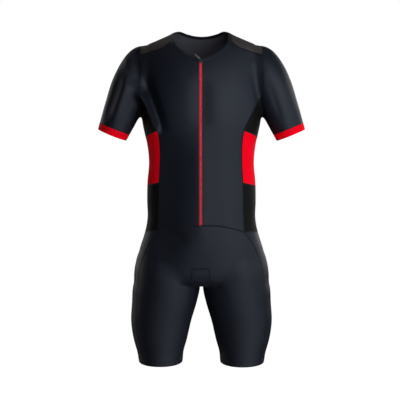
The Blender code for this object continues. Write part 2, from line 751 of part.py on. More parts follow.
front_heights = [APEX, RED_TOP["height"][0], RED_BOTTOM["height"][0], WAIST_SIDE["height"][0]]
back_heights = [APEX, RED_TOP["height"][-1], RED_BOTTOM["height"][-1], WAIST_SIDE["height"][-1]]
side_counts = (UNDERARM_STEPS, RED_STEPS, LOWER_STEPS)
side_front = [
    along_table(SIDE_SEAM, -1, np.linspace(a, b, n + 1))
    for a, b, n in zip(front_heights, front_heights[1:], side_counts)
]
side_back = [
    along_table(SIDE_SEAM, 1, np.linspace(a, b, n + 1))
    for a, b, n in zip(back_heights, back_heights[1:], side_counts)
]
red_top = side_edge(RED_TOP, side_front[0][-1], side_back[0][-1])
red_bottom = side_edge(RED_BOTTOM, side_front[1][-1], side_back[1][-1])
waist_side = side_edge(WAIST_SIDE, side_front[2][-1], side_back[2][-1])

waist_front = across_table(WAIST_SEAM, -1, np.linspace(ZIP_OPENING, WAIST_SEAM["x"][-1], HALF_STEPS + 1))
waist_front[-1] = side_front[2][-1]
waist_middle = on_face((0.0,), WAIST_SEAM["height"][0], -1)
waist_back = across_table(WAIST_BACK, 1, np.linspace(0, WAIST_BACK["x"][-1], HALF_STEPS + 1))
waist_back[-1] = side_back[2][-1]

row_counts = (YOKE_LONG, ARMHOLE_STEPS, *side_counts)
zip_rows = spaced((neck_seam[0, 2], *MIDDLE_ROWS["front"], waist_front[0, 2]), row_counts)
zip_edge = on_face(ZIP_OPENING, zip_rows, -1)
zip_edge[0], zip_edge[-1] = neck_seam[0], waist_front[0]
back_middle = on_face(0, spaced((neck_seam[-1, 2], *MIDDLE_ROWS["back"], waist_back[0, 2]), row_counts), 1)
back_middle[0], back_middle[-1] = neck_seam[-1], waist_back[0]

shorts_front_seam = shorts_side_seam(-1, GUSSET_TOP_FRONT, side_front[2][-1])
shorts_back_seam = shorts_side_seam(1, GUSSET_TOP_BACK, side_back[2][-1])
gusset_front, gusset_back = gusset_seam(-1, GUSSET_TOP_FRONT), gusset_seam(1, GUSSET_TOP_BACK)
hem_turns = [
    np.linspace(math.pi, LEG_FRONT.measure(shorts_front_seam[-1])[0], HALF_STEPS + 2),
    np.linspace(
        LEG_FRONT.measure(shorts_front_seam[-1])[0],
        LEG_BACK.measure(shorts_back_seam[-1])[0] + 2 * math.pi,
        ARMPIT_STEPS + 1,
    ),
    np.linspace(LEG_BACK.measure(shorts_back_seam[-1])[0] + 2 * math.pi, 3 * math.pi, HALF_STEPS + 1),
]
band_front, band_side, band_back = (hem_line(turns, LEG_BAND) for turns in hem_turns)
band_front[-1] = band_side[0] = shorts_front_seam[-1]
band_side[-1] = band_back[0] = shorts_back_seam[-1]


def inner_edge(face, middle_top, gusset_top, gusset_line, band_end):
    """The shorts' edge next to the other half: middle seam, gusset and inside leg seam."""
    middle = on_face(0, np.linspace(middle_top, gusset_top, CENTRE_STEPS + 1), face)
    gusset_edge = on_face(np.linspace(0, GUSSET_HALF, GUSSET_TOP_STEPS + 1), gusset_top, face)
    down = np.linspace(GUSSET_TIP, band_end[2], INSEAM_STEPS + 1)
    inseam = LEG_FRONT.point(np.full(INSEAM_STEPS + 1, math.pi), down)
    return joined(middle, gusset_edge, gusset_line, inseam)


shorts_front_inner = inner_edge(-1, waist_middle[0, 2], GUSSET_TOP_FRONT, gusset_front, band_front[0])
shorts_back_inner = inner_edge(1, waist_back[0, 2], GUSSET_TOP_BACK, gusset_back, band_back[-1])

# ------------------------------------------------------------------------------------- cloth pieces
TOP_LOOK, SHORTS_LOOK, MESH_LOOK = (BLACK, 0.45), (GREY_BLACK, 0.5), (MESH, 0.75)
RED_LOOK, ZIP_LOOK = (RED, 0.6), (RED, 0.4)
SLIDER_LOOK, TAB_LOOK = (BLACK, 0.3, 0.6), (PULL_GREY, 0.45)

front = patch(
    FRONT, neck_seam[: HALF_STEPS + 1], waist_front, zip_edge,
    joined(yoke_front, armhole_front, *side_front),
)
pair("front", front, TOP_LOOK)

back = patch(
    BACK, neck_seam[: HALF_STEPS + YOKE_ROUND - 1 : -1], waist_back, back_middle,
    joined(yoke_back, armhole_back[::-1], *side_back),
)
cloth("back", both_halves(back), TOP_LOOK)

yoke_neck = neck_seam[HALF_STEPS : HALF_STEPS + YOKE_ROUND + 1]
yoke = patch(YokeChart(), yoke_front, yoke_back, yoke_neck, armhole_top)
pair("yoke", yoke, MESH_LOOK)

side_upper = patch(NearChart(), armpit, red_top, side_front[0], side_back[0])
pair("side_upper", side_upper, MESH_LOOK)
pair("side_red", patch(TRUNK_ROUND, red_top, red_bottom, side_front[1], side_back[1]), RED_LOOK)
pair("side_lower", patch(TRUNK_ROUND, red_bottom, waist_side, side_front[2], side_back[2]), MESH_LOOK)

# Sleeve, from the front apex over the top to the back apex; its under-sleeve closes it below.
over, under = SleeveChart(-180), SleeveChart(0)
sleeve_top = joined(armhole_front[::-1], armhole_top, armhole_back[::-1])
band_start = SLEEVE_END - SLEEVE_BAND
round_turn = math.radians(UNDER_SLEEVE_TURN)
share = np.linspace(0, 1, SLEEVE_LONG + 1)


def under_seam(apex, end_turn):
    """From the armhole down the sleeve to its band."""
    turn, along = under.measure(apex)
    line = under.point(turn + (end_turn - turn) * share, along + (band_start - along) * share)
    line[0] = apex
    return line


under_front = under_seam(armpit[0], round_turn)
under_back = under_seam(armpit[-1], 2 * math.pi - round_turn)
over_steps, under_steps = len(sleeve_top) - 1, ARMPIT_STEPS
cuff_turns = [
    np.linspace(round_turn, -round_turn, over_steps + 1),
    np.linspace(round_turn, 2 * math.pi - round_turn, under_steps + 1),
]
cuff_over = over.point(cuff_turns[0], np.full(over_steps + 1, band_start))
cuff_under = under.point(cuff_turns[1], np.full(under_steps + 1, band_start))
cuff_over[0] = cuff_under[0] = under_front[-1]
cuff_over[-1] = cuff_under[-1] = under_back[-1]
pair("sleeve", patch(over, sleeve_top, cuff_over, under_front, under_back), TOP_LOOK)
pair("sleeve_under", patch(under, armpit, cuff_under, under_front, under_back), MESH_LOOK)

ring_turns = np.concatenate([cuff_turns[0], cuff_turns[1][-2::-1] - 2 * math.pi])
cuff_end = under.point(ring_turns, np.full(len(ring_turns), SLEEVE_END))
cuff_ring = np.stack([joined(cuff_over, cuff_under[::-1]), cuff_end])
pair("cuff", cuff_ring, RED_LOOK, wall=BAND_WALL, lift=BAND_LIFT, edges="top", ring=True)

neck_band = np.stack([neck_edge, neck_seam])
neck_band = np.concatenate([neck_band, mirrored(neck_band)[:, -2::-1]], axis=1)
cloth("neck_band", neck_band, TOP_LOOK, wall=BAND_WALL, lift=BAND_LIFT, edges="bottom")

# Shorts
short_front = patch(
    LEG_FRONT, np.concatenate([waist_middle, waist_front]),
    band_front, shorts_front_inner, shorts_front_seam,
)
pair("short_front", short_front, SHORTS_LOOK)
leg_side = RoundChart(shorts_core, -180)
short_side = patch(leg_side, waist_side, band_side, shorts_front_seam, shorts_back_seam)
pair("short_side", short_side, SHORTS_LOOK)
short_back = patch(LEG_BACK, waist_back, band_back[::-1], shorts_back_inner, shorts_back_seam)
pair("short_back", short_back, SHORTS_LOOK)

gusset_outer = joined(gusset_front, gusset_back[::-1])
under_turns = np.linspace(0, math.pi, GUSSET_SWEEP)[1:-1]
crotch = cast((0, 0, GUSSET_CORE), stack(0, -np.cos(under_turns), -np.sin(under_turns)))
ends = on_face(0, (GUSSET_TOP_FRONT, GUSSET_TOP_BACK), (-1, 1))
crotch = crotch[(crotch[:, 2] < GUSSET_TOP_FRONT - GUSSET_CLEAR)]
gusset_middle = seam(np.concatenate([ends[:1], crotch, ends[1:]]), 2 * GUSSET_SEAM_STEPS)
tops = [
    on_face(np.linspace(0, GUSSET_HALF, GUSSET_WIDE + 1), top, face)
    for top, face in ((GUSSET_TOP_FRONT, -1), (GUSSET_TOP_BACK, 1))
]
gusset = patch(NearChart(), tops[0], tops[1], gusset_middle, gusset_outer)
cloth("gusset", both_halves(gusset), MESH_LOOK)

leg_ring = joined(band_front, band_side, band_back)
leg_turns = joined(*hem_turns)
pair(
    "leg_band", np.stack([leg_ring, hem_line(leg_turns, 0.0)]), SHORTS_LOOK,
    wall=BAND_WALL, lift=BAND_LIFT, edges="top", ring=True,
)

# ------------------------------------------------------------------------------------------------ zip
between = zip_edge[:, 2]
between = between[(between < CHAIN_TOP) & (between > CHAIN_END)]
tape_rows = np.concatenate([[ZIP_TOP], between, [CHAIN_END]])
chain_rows = np.concatenate([[CHAIN_TOP], between, [CHAIN_END]])


def strip(rows, inner, outer):
    """A grid down the front, between two distances from the middle."""
    return on_face(np.array([inner, outer])[None, :], rows[:, None], -1)


tape = strip(tape_rows, TAPE_INNER, TAPE_OUTER)
pair("zip_tape", tape, ZIP_LOOK, wall=TAPE_WALL, lift=-TAPE_UNDER, edges="")
cloth(
    "zip_chain", strip(chain_rows, -CHAIN_HALF, CHAIN_HALF), ZIP_LOOK, wall=CHAIN_THICK, lift=CHAIN_PROUD,
    edges="",
)


def rounded(left, right, low, high, corners, steps=CORNER_STEPS):
    """A rectangle's outline with a radius for each corner, from the lower left one round by the right."""
    places = ((left, low, 1, 1), (right, low, -1, 1), (right, high, -1, -1), (left, high, 1, -1))
    line = []
    for k, ((x, y, to_x, to_y), radius) in enumerate(zip(places, corners)):
        for angle in np.linspace(math.pi + k * math.pi / 2, 1.5 * math.pi + k * math.pi / 2, steps + 1):
            line.append((x + radius * (to_x + math.cos(angle)), y + radius * (to_y + math.sin(angle))))
    return line


def prism(line, low, high, origin, across, up, hole=None):
    """A closed body: an outline in the plane of two directions, between two heights square to them."""
    body = bmesh.new()
    square = across.cross(up)

    def ring(outline, height):
        return [body.verts.new(origin + across * u + up * v + square * height) for u, v in outline]

    def wall(lower, upper):
        for k in range(len(lower)):
            body.faces.new((lower[k - 1], lower[k], upper[k], upper[k - 1]))

    outer = [ring(line, low), ring(line, high)]
    wall(*outer)
    if hole is None:
        for verts in outer:
            body.faces.new(verts)
        return body
    inner = [ring(hole, low), ring(hole, high)]
    wall(*inner)
    for verts, within in zip(outer, inner):
        wall(verts, within)
    return body


def union(name, bodies, look):
    """Joins overlapping closed bodies into one."""
    things = [add(f"{name}_{k}", body, look) for k, body in enumerate(bodies)]
    for other in things[1:]:
        join = things[0].modifiers.new("join", "BOOLEAN")
        join.operation, join.solver, join.object = "UNION", "EXACT", other
    whole = things[0].evaluated_get(bpy.context.evaluated_depsgraph_get())
    body = bmesh.new()
    body.from_mesh(whole.to_mesh())
    whole.to_mesh_clear()
    bmesh.ops.remove_doubles(body, verts=body.verts, dist=1e-6)
    for thing in things:
        bpy.data.objects.remove(thing, do_unlink=True)
    return add(name, body, look)


slider_middle = on_face(0, SLIDER_HEIGHT, -1)
face_out = Vector(outward(slider_middle))
sideways = Vector((1.0, 0.0, 0.0))
upwards = face_out.cross(sideways).normalized()
slider_middle = Vector(slider_middle)
tab_way = upwards * math.sin(TAB_TURN) - sideways * math.cos(TAB_TURN)
hinge_way = tab_way.cross(face_out)

half_long, top_half, end_half = SLIDER_LONG / 2, SLIDER_TOP_WIDE / 2, SLIDER_END_WIDE / 2
plate = (
    (-end_half, -half_long),
    (end_half, -half_long),
    (top_half, 0.0),
    (top_half, half_long - SLIDER_CORNER),
    (top_half - SLIDER_CORNER, half_long),
    (SLIDER_CORNER - top_half, half_long),
    (-top_half, half_long - SLIDER_CORNER),
    (-top_half, 0.0),
)
post = rounded(
    -POST_WIDE / 2, POST_WIDE / 2, half_long - POST_LONG, half_long - SINK, (POST_CORNER,) * 4, 2
)
reach, foot, top = BAIL_INNER_LONG / 2, FRONT_PLATE_HIGH - SINK, FRONT_PLATE_HIGH + BAIL_INNER_HIGH
bail = (
    (-reach - BAIL_BAR, foot),
    (-reach, foot),
    (-reach, top - SINK),
    (SINK - reach, top),
    (reach - SINK, top),
    (reach, top - SINK),
    (reach, foot),
    (reach + BAIL_BAR, foot),
    (reach + BAIL_BAR, top),
    (reach, top + BAIL_BAR),
    (-reach, top + BAIL_BAR),
    (-reach - BAIL_BAR, top),
)
bail_middle = slider_middle + upwards * BAIL_UP
union(
    "zip_slider",
    (
        prism(plate, FRONT_PLATE_LOW, FRONT_PLATE_HIGH, slider_middle, sideways, upwards),
        prism(plate, BACK_PLATE_LOW, BACK_PLATE_HIGH, slider_middle, sideways, upwards),
        prism(post, BACK_PLATE_HIGH - SINK, FRONT_PLATE_LOW + SINK, slider_middle, sideways, upwards),
        prism(bail, -BAIL_WIDE / 2, BAIL_WIDE / 2, bail_middle, tab_way, face_out),
    ),
    SLIDER_LOOK,
)

hinge_place = bail_middle + face_out * (FRONT_PLATE_HIGH + BAIL_INNER_HIGH / 2)
tab = rounded(
    -TAB_WIDE / 2, TAB_WIDE / 2, -TAB_BAR / 2, TAB_LONG - TAB_BAR / 2,
    (TAB_BAR_CORNER, TAB_BAR_CORNER, TAB_END_CORNER, TAB_END_CORNER),
)
hole = rounded(
    -TAB_HOLE_WIDE / 2, TAB_HOLE_WIDE / 2, TAB_BAR / 2, TAB_BAR / 2 + TAB_HOLE_LONG, (TAB_HOLE_CORNER,) * 4
)
add("pull_tab", prism(tab, -TAB_THICK / 2, TAB_THICK / 2, hinge_place, hinge_way, tab_way, hole), TAB_LOOK)
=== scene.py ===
"""Dresses the filled-out triathlon suit: knitted panels, flat seams, stitched hems, zip and pull tab.

Metres, +Z up. The wearer faces -Y, so +X is the wearer's left. The cloth is cut on the same smooth form as
the solids, in finer steps, and each piece stands for its solid.
"""

import logging
import math
from collections.abc import Callable, Iterable, Sequence
from dataclasses import dataclass, field, replace
from enum import Enum

import bmesh
import bpy
import numpy as np
from mathutils import Matrix, Vector


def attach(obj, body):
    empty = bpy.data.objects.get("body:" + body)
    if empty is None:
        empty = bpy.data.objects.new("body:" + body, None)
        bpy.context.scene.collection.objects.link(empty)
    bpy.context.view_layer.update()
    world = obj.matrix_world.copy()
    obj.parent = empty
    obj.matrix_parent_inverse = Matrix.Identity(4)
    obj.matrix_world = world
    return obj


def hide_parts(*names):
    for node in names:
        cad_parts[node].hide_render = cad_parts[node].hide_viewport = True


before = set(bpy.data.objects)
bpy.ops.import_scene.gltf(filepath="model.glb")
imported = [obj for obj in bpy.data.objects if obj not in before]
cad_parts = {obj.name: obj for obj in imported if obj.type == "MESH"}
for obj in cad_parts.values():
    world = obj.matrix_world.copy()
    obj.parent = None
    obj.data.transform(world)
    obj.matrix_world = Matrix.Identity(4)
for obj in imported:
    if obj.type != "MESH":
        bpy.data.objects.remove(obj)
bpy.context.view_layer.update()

log = logging.getLogger("suit")
Array = np.ndarray
Columns = dict[str, np.ndarray]
Socket = bpy.types.NodeSocket
Colour = tuple[float, float, float]
Outline = Sequence[tuple[float, float]]
Places = dict[bmesh.types.BMVert, tuple[int, int]]

NO_LENGTH = 1e-12
NO_REACH = 1e-6
LEAST_SHARE = 1e-4


def columns(names: str, *lines: tuple[float, ...]) -> Columns:
    """Turns rows with named columns into arrays, one a column.

    Args:
        names: The columns' names, with spaces between.
        lines: The rows.

    Returns:
        The columns by name.
    """
    return {name: np.array(column, float) for name, column in zip(names.split(), zip(*lines))}


def size_table(names: str, *lines: tuple[float, ...]) -> Columns:
    """A dataclass field that holds a table of sizes."""
    return field(default_factory=lambda: columns(names, *lines))


# ---------------------------------- numbers
def smooth_at(places: Array, values: Array, at: Array | float) -> Array:
    """Reads a column at any place, on a smooth curve through its rows.

    Args:
        places: Where the rows are, rising or falling.
        values: The column.
        at: The places asked for.

    Returns:
        The values there.
    """
    if places[0] > places[-1]:
        places, values = places[::-1], values[::-1]
    at = np.clip(at, places[0], places[-1])
    slopes = np.gradient(values, places)
    k = np.clip(np.searchsorted(places, at, side="right") - 1, 0, len(places) - 2)
    width = places[k + 1] - places[k]
    t = (at - places[k]) / width
    rest = 1 - t
    held = values[k] * (1 + 2 * t) * rest**2 + values[k + 1] * t**2 * (3 - 2 * t)
    return held + slopes[k] * width * t * rest**2 - slopes[k + 1] * width * t**2 * rest


def stack(*parts: Array | float) -> Array:
    """Joins coordinates into points."""
    return np.stack(np.broadcast_arrays(*[np.asarray(part, float) for part in parts]), axis=-1)


def joined(*lines: Array) -> Array:
    """Lines end to end, with each shared end once."""
    return np.concatenate([lines[0]] + [line[1:] for line in lines[1:]])


def spaced(stops: Sequence[float], counts: Sequence[int]) -> Array:
    """Places in equal steps between stops, each stretch with its own count."""
    return joined(*(np.linspace(a, b, n + 1) for a, b, n in zip(stops, stops[1:], counts)))


def unit(vectors: Array) -> Array:
    """Vectors of length one."""
    return vectors / np.maximum(np.linalg.norm(vectors, axis=-1, keepdims=True), NO_LENGTH)


def mirrored(points: Array) -> Array:
    """The same points on the wearer's other side."""
    return points * (-1.0, 1.0, 1.0)


def run_length(points: Array, axis: int = 0) -> Array:
    """How far along each point is from the first, down one axis of a grid or line.

    Args:
        points: A line or grid of points.
        axis: The axis that is walked along.

    Returns:
        The distances, in the points' own shape.
    """
    steps = np.linalg.norm(np.diff(points, axis=axis), axis=-1)
    start = np.zeros_like(np.take(steps, [0], axis=axis))
    return np.concatenate([start, np.cumsum(steps, axis=axis)], axis=axis)


def past_section(
    across: Array, forward: Array, half: Array, front: Array, back: Array, square: Array | float
) -> Array:
    """How far points are outside a rounded section, level with it; negative inside.

    Args:
        across: Place to the side of the section's middle.
        forward: Place behind the middle; negative in front.
        half: Half width.
        front: Depth in front of the middle.
        back: Depth behind it.
        square: 2 is an ellipse, and more is squarer.

    Returns:
        The distances.
    """
    depth = np.where(forward < 0, front, back)
    share = ((np.abs(across) / half) ** square + (np.abs(forward) / depth) ** square) ** (1 / square)
    reach = np.hypot(across, forward) + NO_REACH
    return reach - reach / np.maximum(share, LEAST_SHARE)


def blend(a: Array, b: Array, width: float) -> Array:
    """The smaller of two distances, rounded off over a width."""
    near = np.maximum(width - np.abs(a - b), 0) / width
    return np.minimum(a, b) - near**2 * width / 4


# ---------------------------------- form
@dataclass
class SuitForm:
    """The smooth figure that the cloth is cut for: trunk, sleeves and legs, blended where they meet."""

    trunk: Columns = size_table(
        "height half_width front back square",
        (0.0330, 0.0480, 0.046, 0.048, 2.0),
        (0.0231, 0.0733, 0.051, 0.055, 2.0),
        (0.0114, 0.0980, 0.057, 0.061, 2.0),
        (0.0000, 0.1240, 0.063, 0.068, 2.0),
        (-0.0114, 0.1500, 0.069, 0.076, 2.0),
        (-0.0220, 0.1625, 0.074, 0.083, 2.0),
        (-0.0500, 0.1680, 0.087, 0.098, 2.05),
        (-0.1000, 0.1680, 0.104, 0.113, 2.15),
        (-0.1500, 0.1675, 0.1140, 0.119, 2.25),
        (-0.2000, 0.1675, 0.1180, 0.117, 2.3),
        (-0.2280, 0.1665, 0.1170, 0.114, 2.3),
        (-0.2570, 0.1610, 0.1150, 0.110, 2.3),
        (-0.2850, 0.1545, 0.1120, 0.105, 2.3),
        (-0.3420, 0.1485, 0.1060, 0.098, 2.3),
        (-0.3990, 0.1530, 0.1040, 0.095, 2.3),
        (-0.4560, 0.1540, 0.1055, 0.098, 2.3),
        (-0.4990, 0.1530, 0.1080, 0.104, 2.3),
        (-0.5270, 0.1570, 0.1100, 0.110, 2.3),
        (-0.5560, 0.1650, 0.1115, 0.118, 2.3),
        (-0.5840, 0.1740, 0.1125, 0.125, 2.3),
        (-0.6270, 0.1835, 0.1110, 0.130, 2.3),
        (-0.6560, 0.1860, 0.1050, 0.1255, 2.3),
        (-0.6740, 0.1840, 0.0930, 0.1130, 2.3),
        (-0.6850, 0.1800, 0.0720, 0.092, 2.3),
        (-0.6910, 0.1740, 0.0420, 0.055, 2.3),
        (-0.6940, 0.1700, 0.0050, 0.006, 2.3),
    )
    leg: Columns = size_table(
        "height middle half_width front back",
        (-0.5650, 0.1080, 0.0100, 0.010, 0.010),
        (-0.6000, 0.1060, 0.0640, 0.074, 0.090),
        (-0.6300, 0.1030, 0.0810, 0.098, 0.114),
        (-0.6560, 0.1005, 0.0890, 0.1035, 0.122),
        (-0.6840, 0.0985, 0.0940, 0.1035, 0.1215),
        (-0.6980, 0.0998, 0.0955, 0.1020, 0.1185),
        (-0.7410, 0.1055, 0.0926, 0.0950, 0.1050),
        (-0.7980, 0.1154, 0.0855, 0.085, 0.088),
        (-0.8550, 0.1177, 0.0745, 0.076, 0.078),
        (-0.8835, 0.1177, 0.0665, 0.071, 0.073),
        (-0.9120, 0.1165, 0.0625, 0.0685, 0.070),
        (-0.9400, 0.1160, 0.0600, 0.066, 0.068),
    )
    sleeve: Columns = size_table(
        "along half_width half_depth middle",
        (-0.0400, 0.0020, 0.004, 0.000),
        (-0.0310, 0.0215, 0.026, 0.000),
        (-0.0160, 0.0370, 0.041, 0.000),
        (0.0016, 0.0460, 0.050, -0.001),
        (0.0300, 0.0535, 0.058, -0.002),
        (0.0855, 0.0575, 0.061, -0.005),
        (0.1470, 0.0524, 0.057, -0.008),
        (0.2020, 0.0462, 0.052, -0.010),
        (0.2295, 0.0427, 0.0495, -0.011),
        (0.2600, 0.0400, 0.0475, -0.012),
    )
    sleeve_x: float = 0.1646
    sleeve_z: float = -0.0528
    sleeve_slant: float = math.radians(22.3)
    sleeve_square: float = 2.0
    leg_square: float = 2.1
    shoulder_blend: float = 0.016
    hip_blend: float = 0.014
    crotch_blend: float = 0.008
    ridge_start: float = -0.03
    slope_step: float = 0.0006
    far_out: float = 1.0
    cast_far: float = 0.36
    cast_step: float = 0.0025
    cast_halvings: int = 22
    least_slope: float = 0.05
    largest_move: float = 0.004
    seam_samples: int = 400
    on_middle: float = 1e-5

    def sleeve_place(self, points: Array) -> tuple[Array, Array, Array]:
        """Turns points into the sleeve's own measures.

        Args:
            points: Points on the wearer's left.

        Returns:
            Outwards from the sleeve's middle line, along it, and behind it.
        """
        dx, dz = points[..., 0] - self.sleeve_x, points[..., 2] - self.sleeve_z
        outwards = dx * math.cos(self.sleeve_slant) + dz * math.sin(self.sleeve_slant)
        along = dx * math.sin(self.sleeve_slant) - dz * math.cos(self.sleeve_slant)
        return outwards, along, points[..., 1] - smooth_at(self.sleeve["along"], self.sleeve["middle"], along)

    def past(self, points: Array) -> Array:
        """How far points are outside the whole form.

        Args:
            points: The points, on either side.

        Returns:
            The distances, negative inside.
        """
        points = points * np.where(points[..., :1] < 0, (-1.0, 1.0, 1.0), (1.0, 1.0, 1.0))
        x, y, z = points[..., 0], points[..., 1], points[..., 2]
        names = ("half_width", "front", "back", "square")
        trunk = past_section(x, y, *(smooth_at(self.trunk["height"], self.trunk[k], z) for k in names))
        outwards, along, forward = self.sleeve_place(points)
        width = smooth_at(self.sleeve["along"], self.sleeve["half_width"], along)
        depth = smooth_at(self.sleeve["along"], self.sleeve["half_depth"], along)
        sleeve = past_section(outwards, forward, width, depth, depth, self.sleeve_square)
        sleeve = np.where(along < self.sleeve["along"][0], self.far_out, sleeve)
        size = [smooth_at(self.leg["height"], self.leg[k], z) for k in ("half_width", "front", "back")]
        middle = smooth_at(self.leg["height"], self.leg["middle"], z)
        near = past_section(x - middle, y, *size, self.leg_square)
        other = past_section(x + middle, y, *size, self.leg_square)
        legs = np.where(z > self.leg["height"][0], self.far_out, blend(near, other, self.crotch_blend))
        trunk = np.where(z < self.trunk["height"][-1], self.far_out, trunk)
        return blend(blend(trunk, sleeve, self.shoulder_blend), legs, self.hip_blend)

    def slope(self, points: Array) -> Array:
        """How the distance grows along X, Y and Z at each point.

        Args:
            points: The points.

        Returns:
            The three rates at each point.
        """
        points, ways = np.asarray(points, float), np.eye(3) * self.slope_step
        rises = [self.past(points + way) - self.past(points - way) for way in ways]
        return np.stack(rises, axis=-1) / (2 * self.slope_step)

    def outward(self, points: Array) -> Array:
        """The form's outward direction at each point."""
        return unit(self.slope(points))

    def settle(self, points: Array, rounds: int = 12) -> Array:
        """Moves points that are near the form straight onto it.

        Args:
            points: The points.
            rounds: How many times the move is repeated.

        Returns:
            The points on the form.
        """
        points = np.array(points, float)
        for _ in range(rounds):
            steep = self.slope(points)
            square = np.maximum((steep**2).sum(-1, keepdims=True), self.least_slope)
            move = self.past(points)[..., None] * steep / square
            points -= np.clip(move, -self.largest_move, self.largest_move)
        return points

    def cast(self, starts: Array | tuple, ways: Array) -> Array:
        """Finds where rays from inside the form first leave it.

        Args:
            starts: Where the rays start.
            ways: Their directions.

        Returns:
            The points on the form.
        """
        starts, ways = np.broadcast_arrays(np.asarray(starts, float), np.asarray(ways, float))
        ways = unit(ways)
        inside = np.zeros(starts.shape[:-1])
        found = np.zeros(starts.shape[:-1], bool)
        for reach in np.arange(self.cast_step, self.cast_far, self.cast_step):
            found |= self.past(starts + ways * reach) > 0
            inside = np.where(found, inside, reach)
            if found.all():
                break
        outside = inside + self.cast_step
        for _ in range(self.cast_halvings):
            half = (inside + outside) / 2
            out = self.past(starts + ways * half[..., None]) > 0
            outside, inside = np.where(out, half, outside), np.where(out, inside, half)
        return starts + ways * ((inside + outside) / 2)[..., None]

    def on_face(self, x: Array | float, height: Array | float, face: Array | float) -> Array:
        """Finds points of the front (-1), the back (1) or the ridge (0), seen from the front.

        Args:
            x: Their places to the side.
            height: Their heights.
            face: Which face each is on.

        Returns:
            The points.
        """
        x, height, face = np.broadcast_arrays(*(np.asarray(value, float) for value in (x, height, face)))
        low = np.where(face == 0, self.ridge_start, height)
        return self.cast(stack(x, 0, low), stack(0, face, np.where(face == 0, 1.0, 0.0)))

    def seam(self, points: Array, count: int) -> Array:
        """Draws a seam line on the form, in equal stretches, through points on it.

        Args:
            points: The points that it goes through.
            count: How many stretches it has.

        Returns:
            The line.
        """
        along = run_length(points)
        fine = np.linspace(0, along[-1], self.seam_samples)
        line = np.stack([smooth_at(along, points[:, k], fine) for k in range(3)], axis=1)
        length = run_length(line)
        at = np.linspace(0, length[-1], count + 1)
        line = np.stack([np.interp(at, length, line[:, k]) for k in range(3)], axis=1)
        line[1:-1] = self.settle(line[1:-1])
        line[np.abs(line[:, 0]) < self.on_middle, 0] = 0.0
        return line


# ---------------------------------- charts
@dataclass
class Chart:
    """Gives each point of a region of the form its measures, and finds the point again from them."""

    form: SuitForm

    def measure(self, points: Array) -> tuple[Array, ...]:
        """The measures of points: where they are, for small saddle-shaped pieces."""
        return points[..., 0], points[..., 1], points[..., 2]

    def point(self, *measures: Array) -> Array:
        """The points on the form with these measures."""
        return self.form.settle(stack(*measures), rounds=30)

    def patch(self, top: Array, bottom: Array, left: Array, right: Array) -> Array:
        """Fills the space between four edges with a grid of points on the form.

        Args:
            top: The first row.
            bottom: The last row.
            left: The first column.
            right: The last column.

        Returns:
            The grid: rows from top to bottom, columns from left to right.
        """
        down, across = np.linspace(0, 1, len(left))[:, None], np.linspace(0, 1, len(top))[None, :]
        measures = []
        for t, b, lf, rt in zip(*(self.measure(edge) for edge in (top, bottom, left, right))):
            ruled = lf[:, None] * (1 - across) + rt[:, None] * across
            hung = t[None, :] * (1 - down) + b[None, :] * down
            corner = (t[0] * (1 - across) + t[-1] * across) * (1 - down)
            measures.append(ruled + hung - corner - (b[0] * (1 - across) + b[-1] * across) * down)
        grid = self.point(*measures)
        grid[0], grid[-1], grid[:, 0], grid[:, -1] = top, bottom, left, right
        return grid


@dataclass
class FaceChart(Chart):
    """The front or the back as it shows from the front: x and height."""

    face: float = -1.0

    def measure(self, points: Array) -> tuple[Array, ...]:
        """X and height."""
        return points[..., 0], points[..., 2]

    def point(self, *measures: Array) -> Array:
        """The points of this face at x and height."""
        return self.form.on_face(measures[0], measures[1], self.face)


@dataclass
class RoundChart(Chart):
    """Round an upright middle line: turn and height. The turn jumps at `cut` degrees."""

    core: Callable[[Array], Array] = np.zeros_like
    cut: float = 0.0

    def measure(self, points: Array) -> tuple[Array, ...]:
        """Turn and height.

        Args:
            points: Points of the region.

        Returns:
            The turns, in radians, and the heights.
        """
        cut = math.radians(self.cut)
        turn = np.arctan2(points[..., 1], points[..., 0] - self.core(points[..., 2]))
        return cut + np.mod(turn - cut, 2 * math.pi), points[..., 2]

    def point(self, *measures: Array) -> Array:
        """The points at turn and height."""
        turn, height = (np.asarray(value, float) for value in measures)
        return self.form.cast(stack(self.core(height), 0, height), stack(np.cos(turn), np.sin(turn), 0))


@dataclass
class YokeChart(Chart):
    """Over the shoulder's ridge: x, and the turn about a level line under it."""

    deep: float = -0.10

    def measure(self, points: Array) -> tuple[Array, ...]:
        """X and turn."""
        return points[..., 0], np.arctan2(points[..., 1], points[..., 2] - self.deep)

    def point(self, *measures: Array) -> Array:
        """The points at x and turn."""
        x, turn = measures
        return self.form.cast(stack(x, 0, self.deep), stack(0, np.sin(turn), np.cos(turn)))


@dataclass
class SleeveChart(Chart):
    """Round the sleeve's middle line: turn from the top towards the front, and the way along."""

    cut: float = 0.0

    def measure(self, points: Array) -> tuple[Array, ...]:
        """Turn and the way along.

        Args:
            points: Points of the sleeve.

        Returns:
            The turns, in radians, and how far along the sleeve they are.
        """
        outwards, along, forward = self.form.sleeve_place(points)
        cut = math.radians(self.cut)
        return cut + np.mod(np.arctan2(-forward, outwards) - cut, 2 * math.pi), along

    def point(self, *measures: Array) -> Array:
        """The points at turn and the way along.

        Args:
            measures: The turns and how far along the sleeve the points are.

        Returns:
            The points.
        """
        turn, along = measures
        level, rise = math.cos(self.form.sleeve_slant), math.sin(self.form.sleeve_slant)
        middle = smooth_at(self.form.sleeve["along"], self.form.sleeve["middle"], along)
        start = stack(self.form.sleeve_x + along * rise, middle, self.form.sleeve_z - along * level)
        return self.form.cast(start, stack(np.cos(turn) * level, -np.sin(turn), np.cos(turn) * rise))


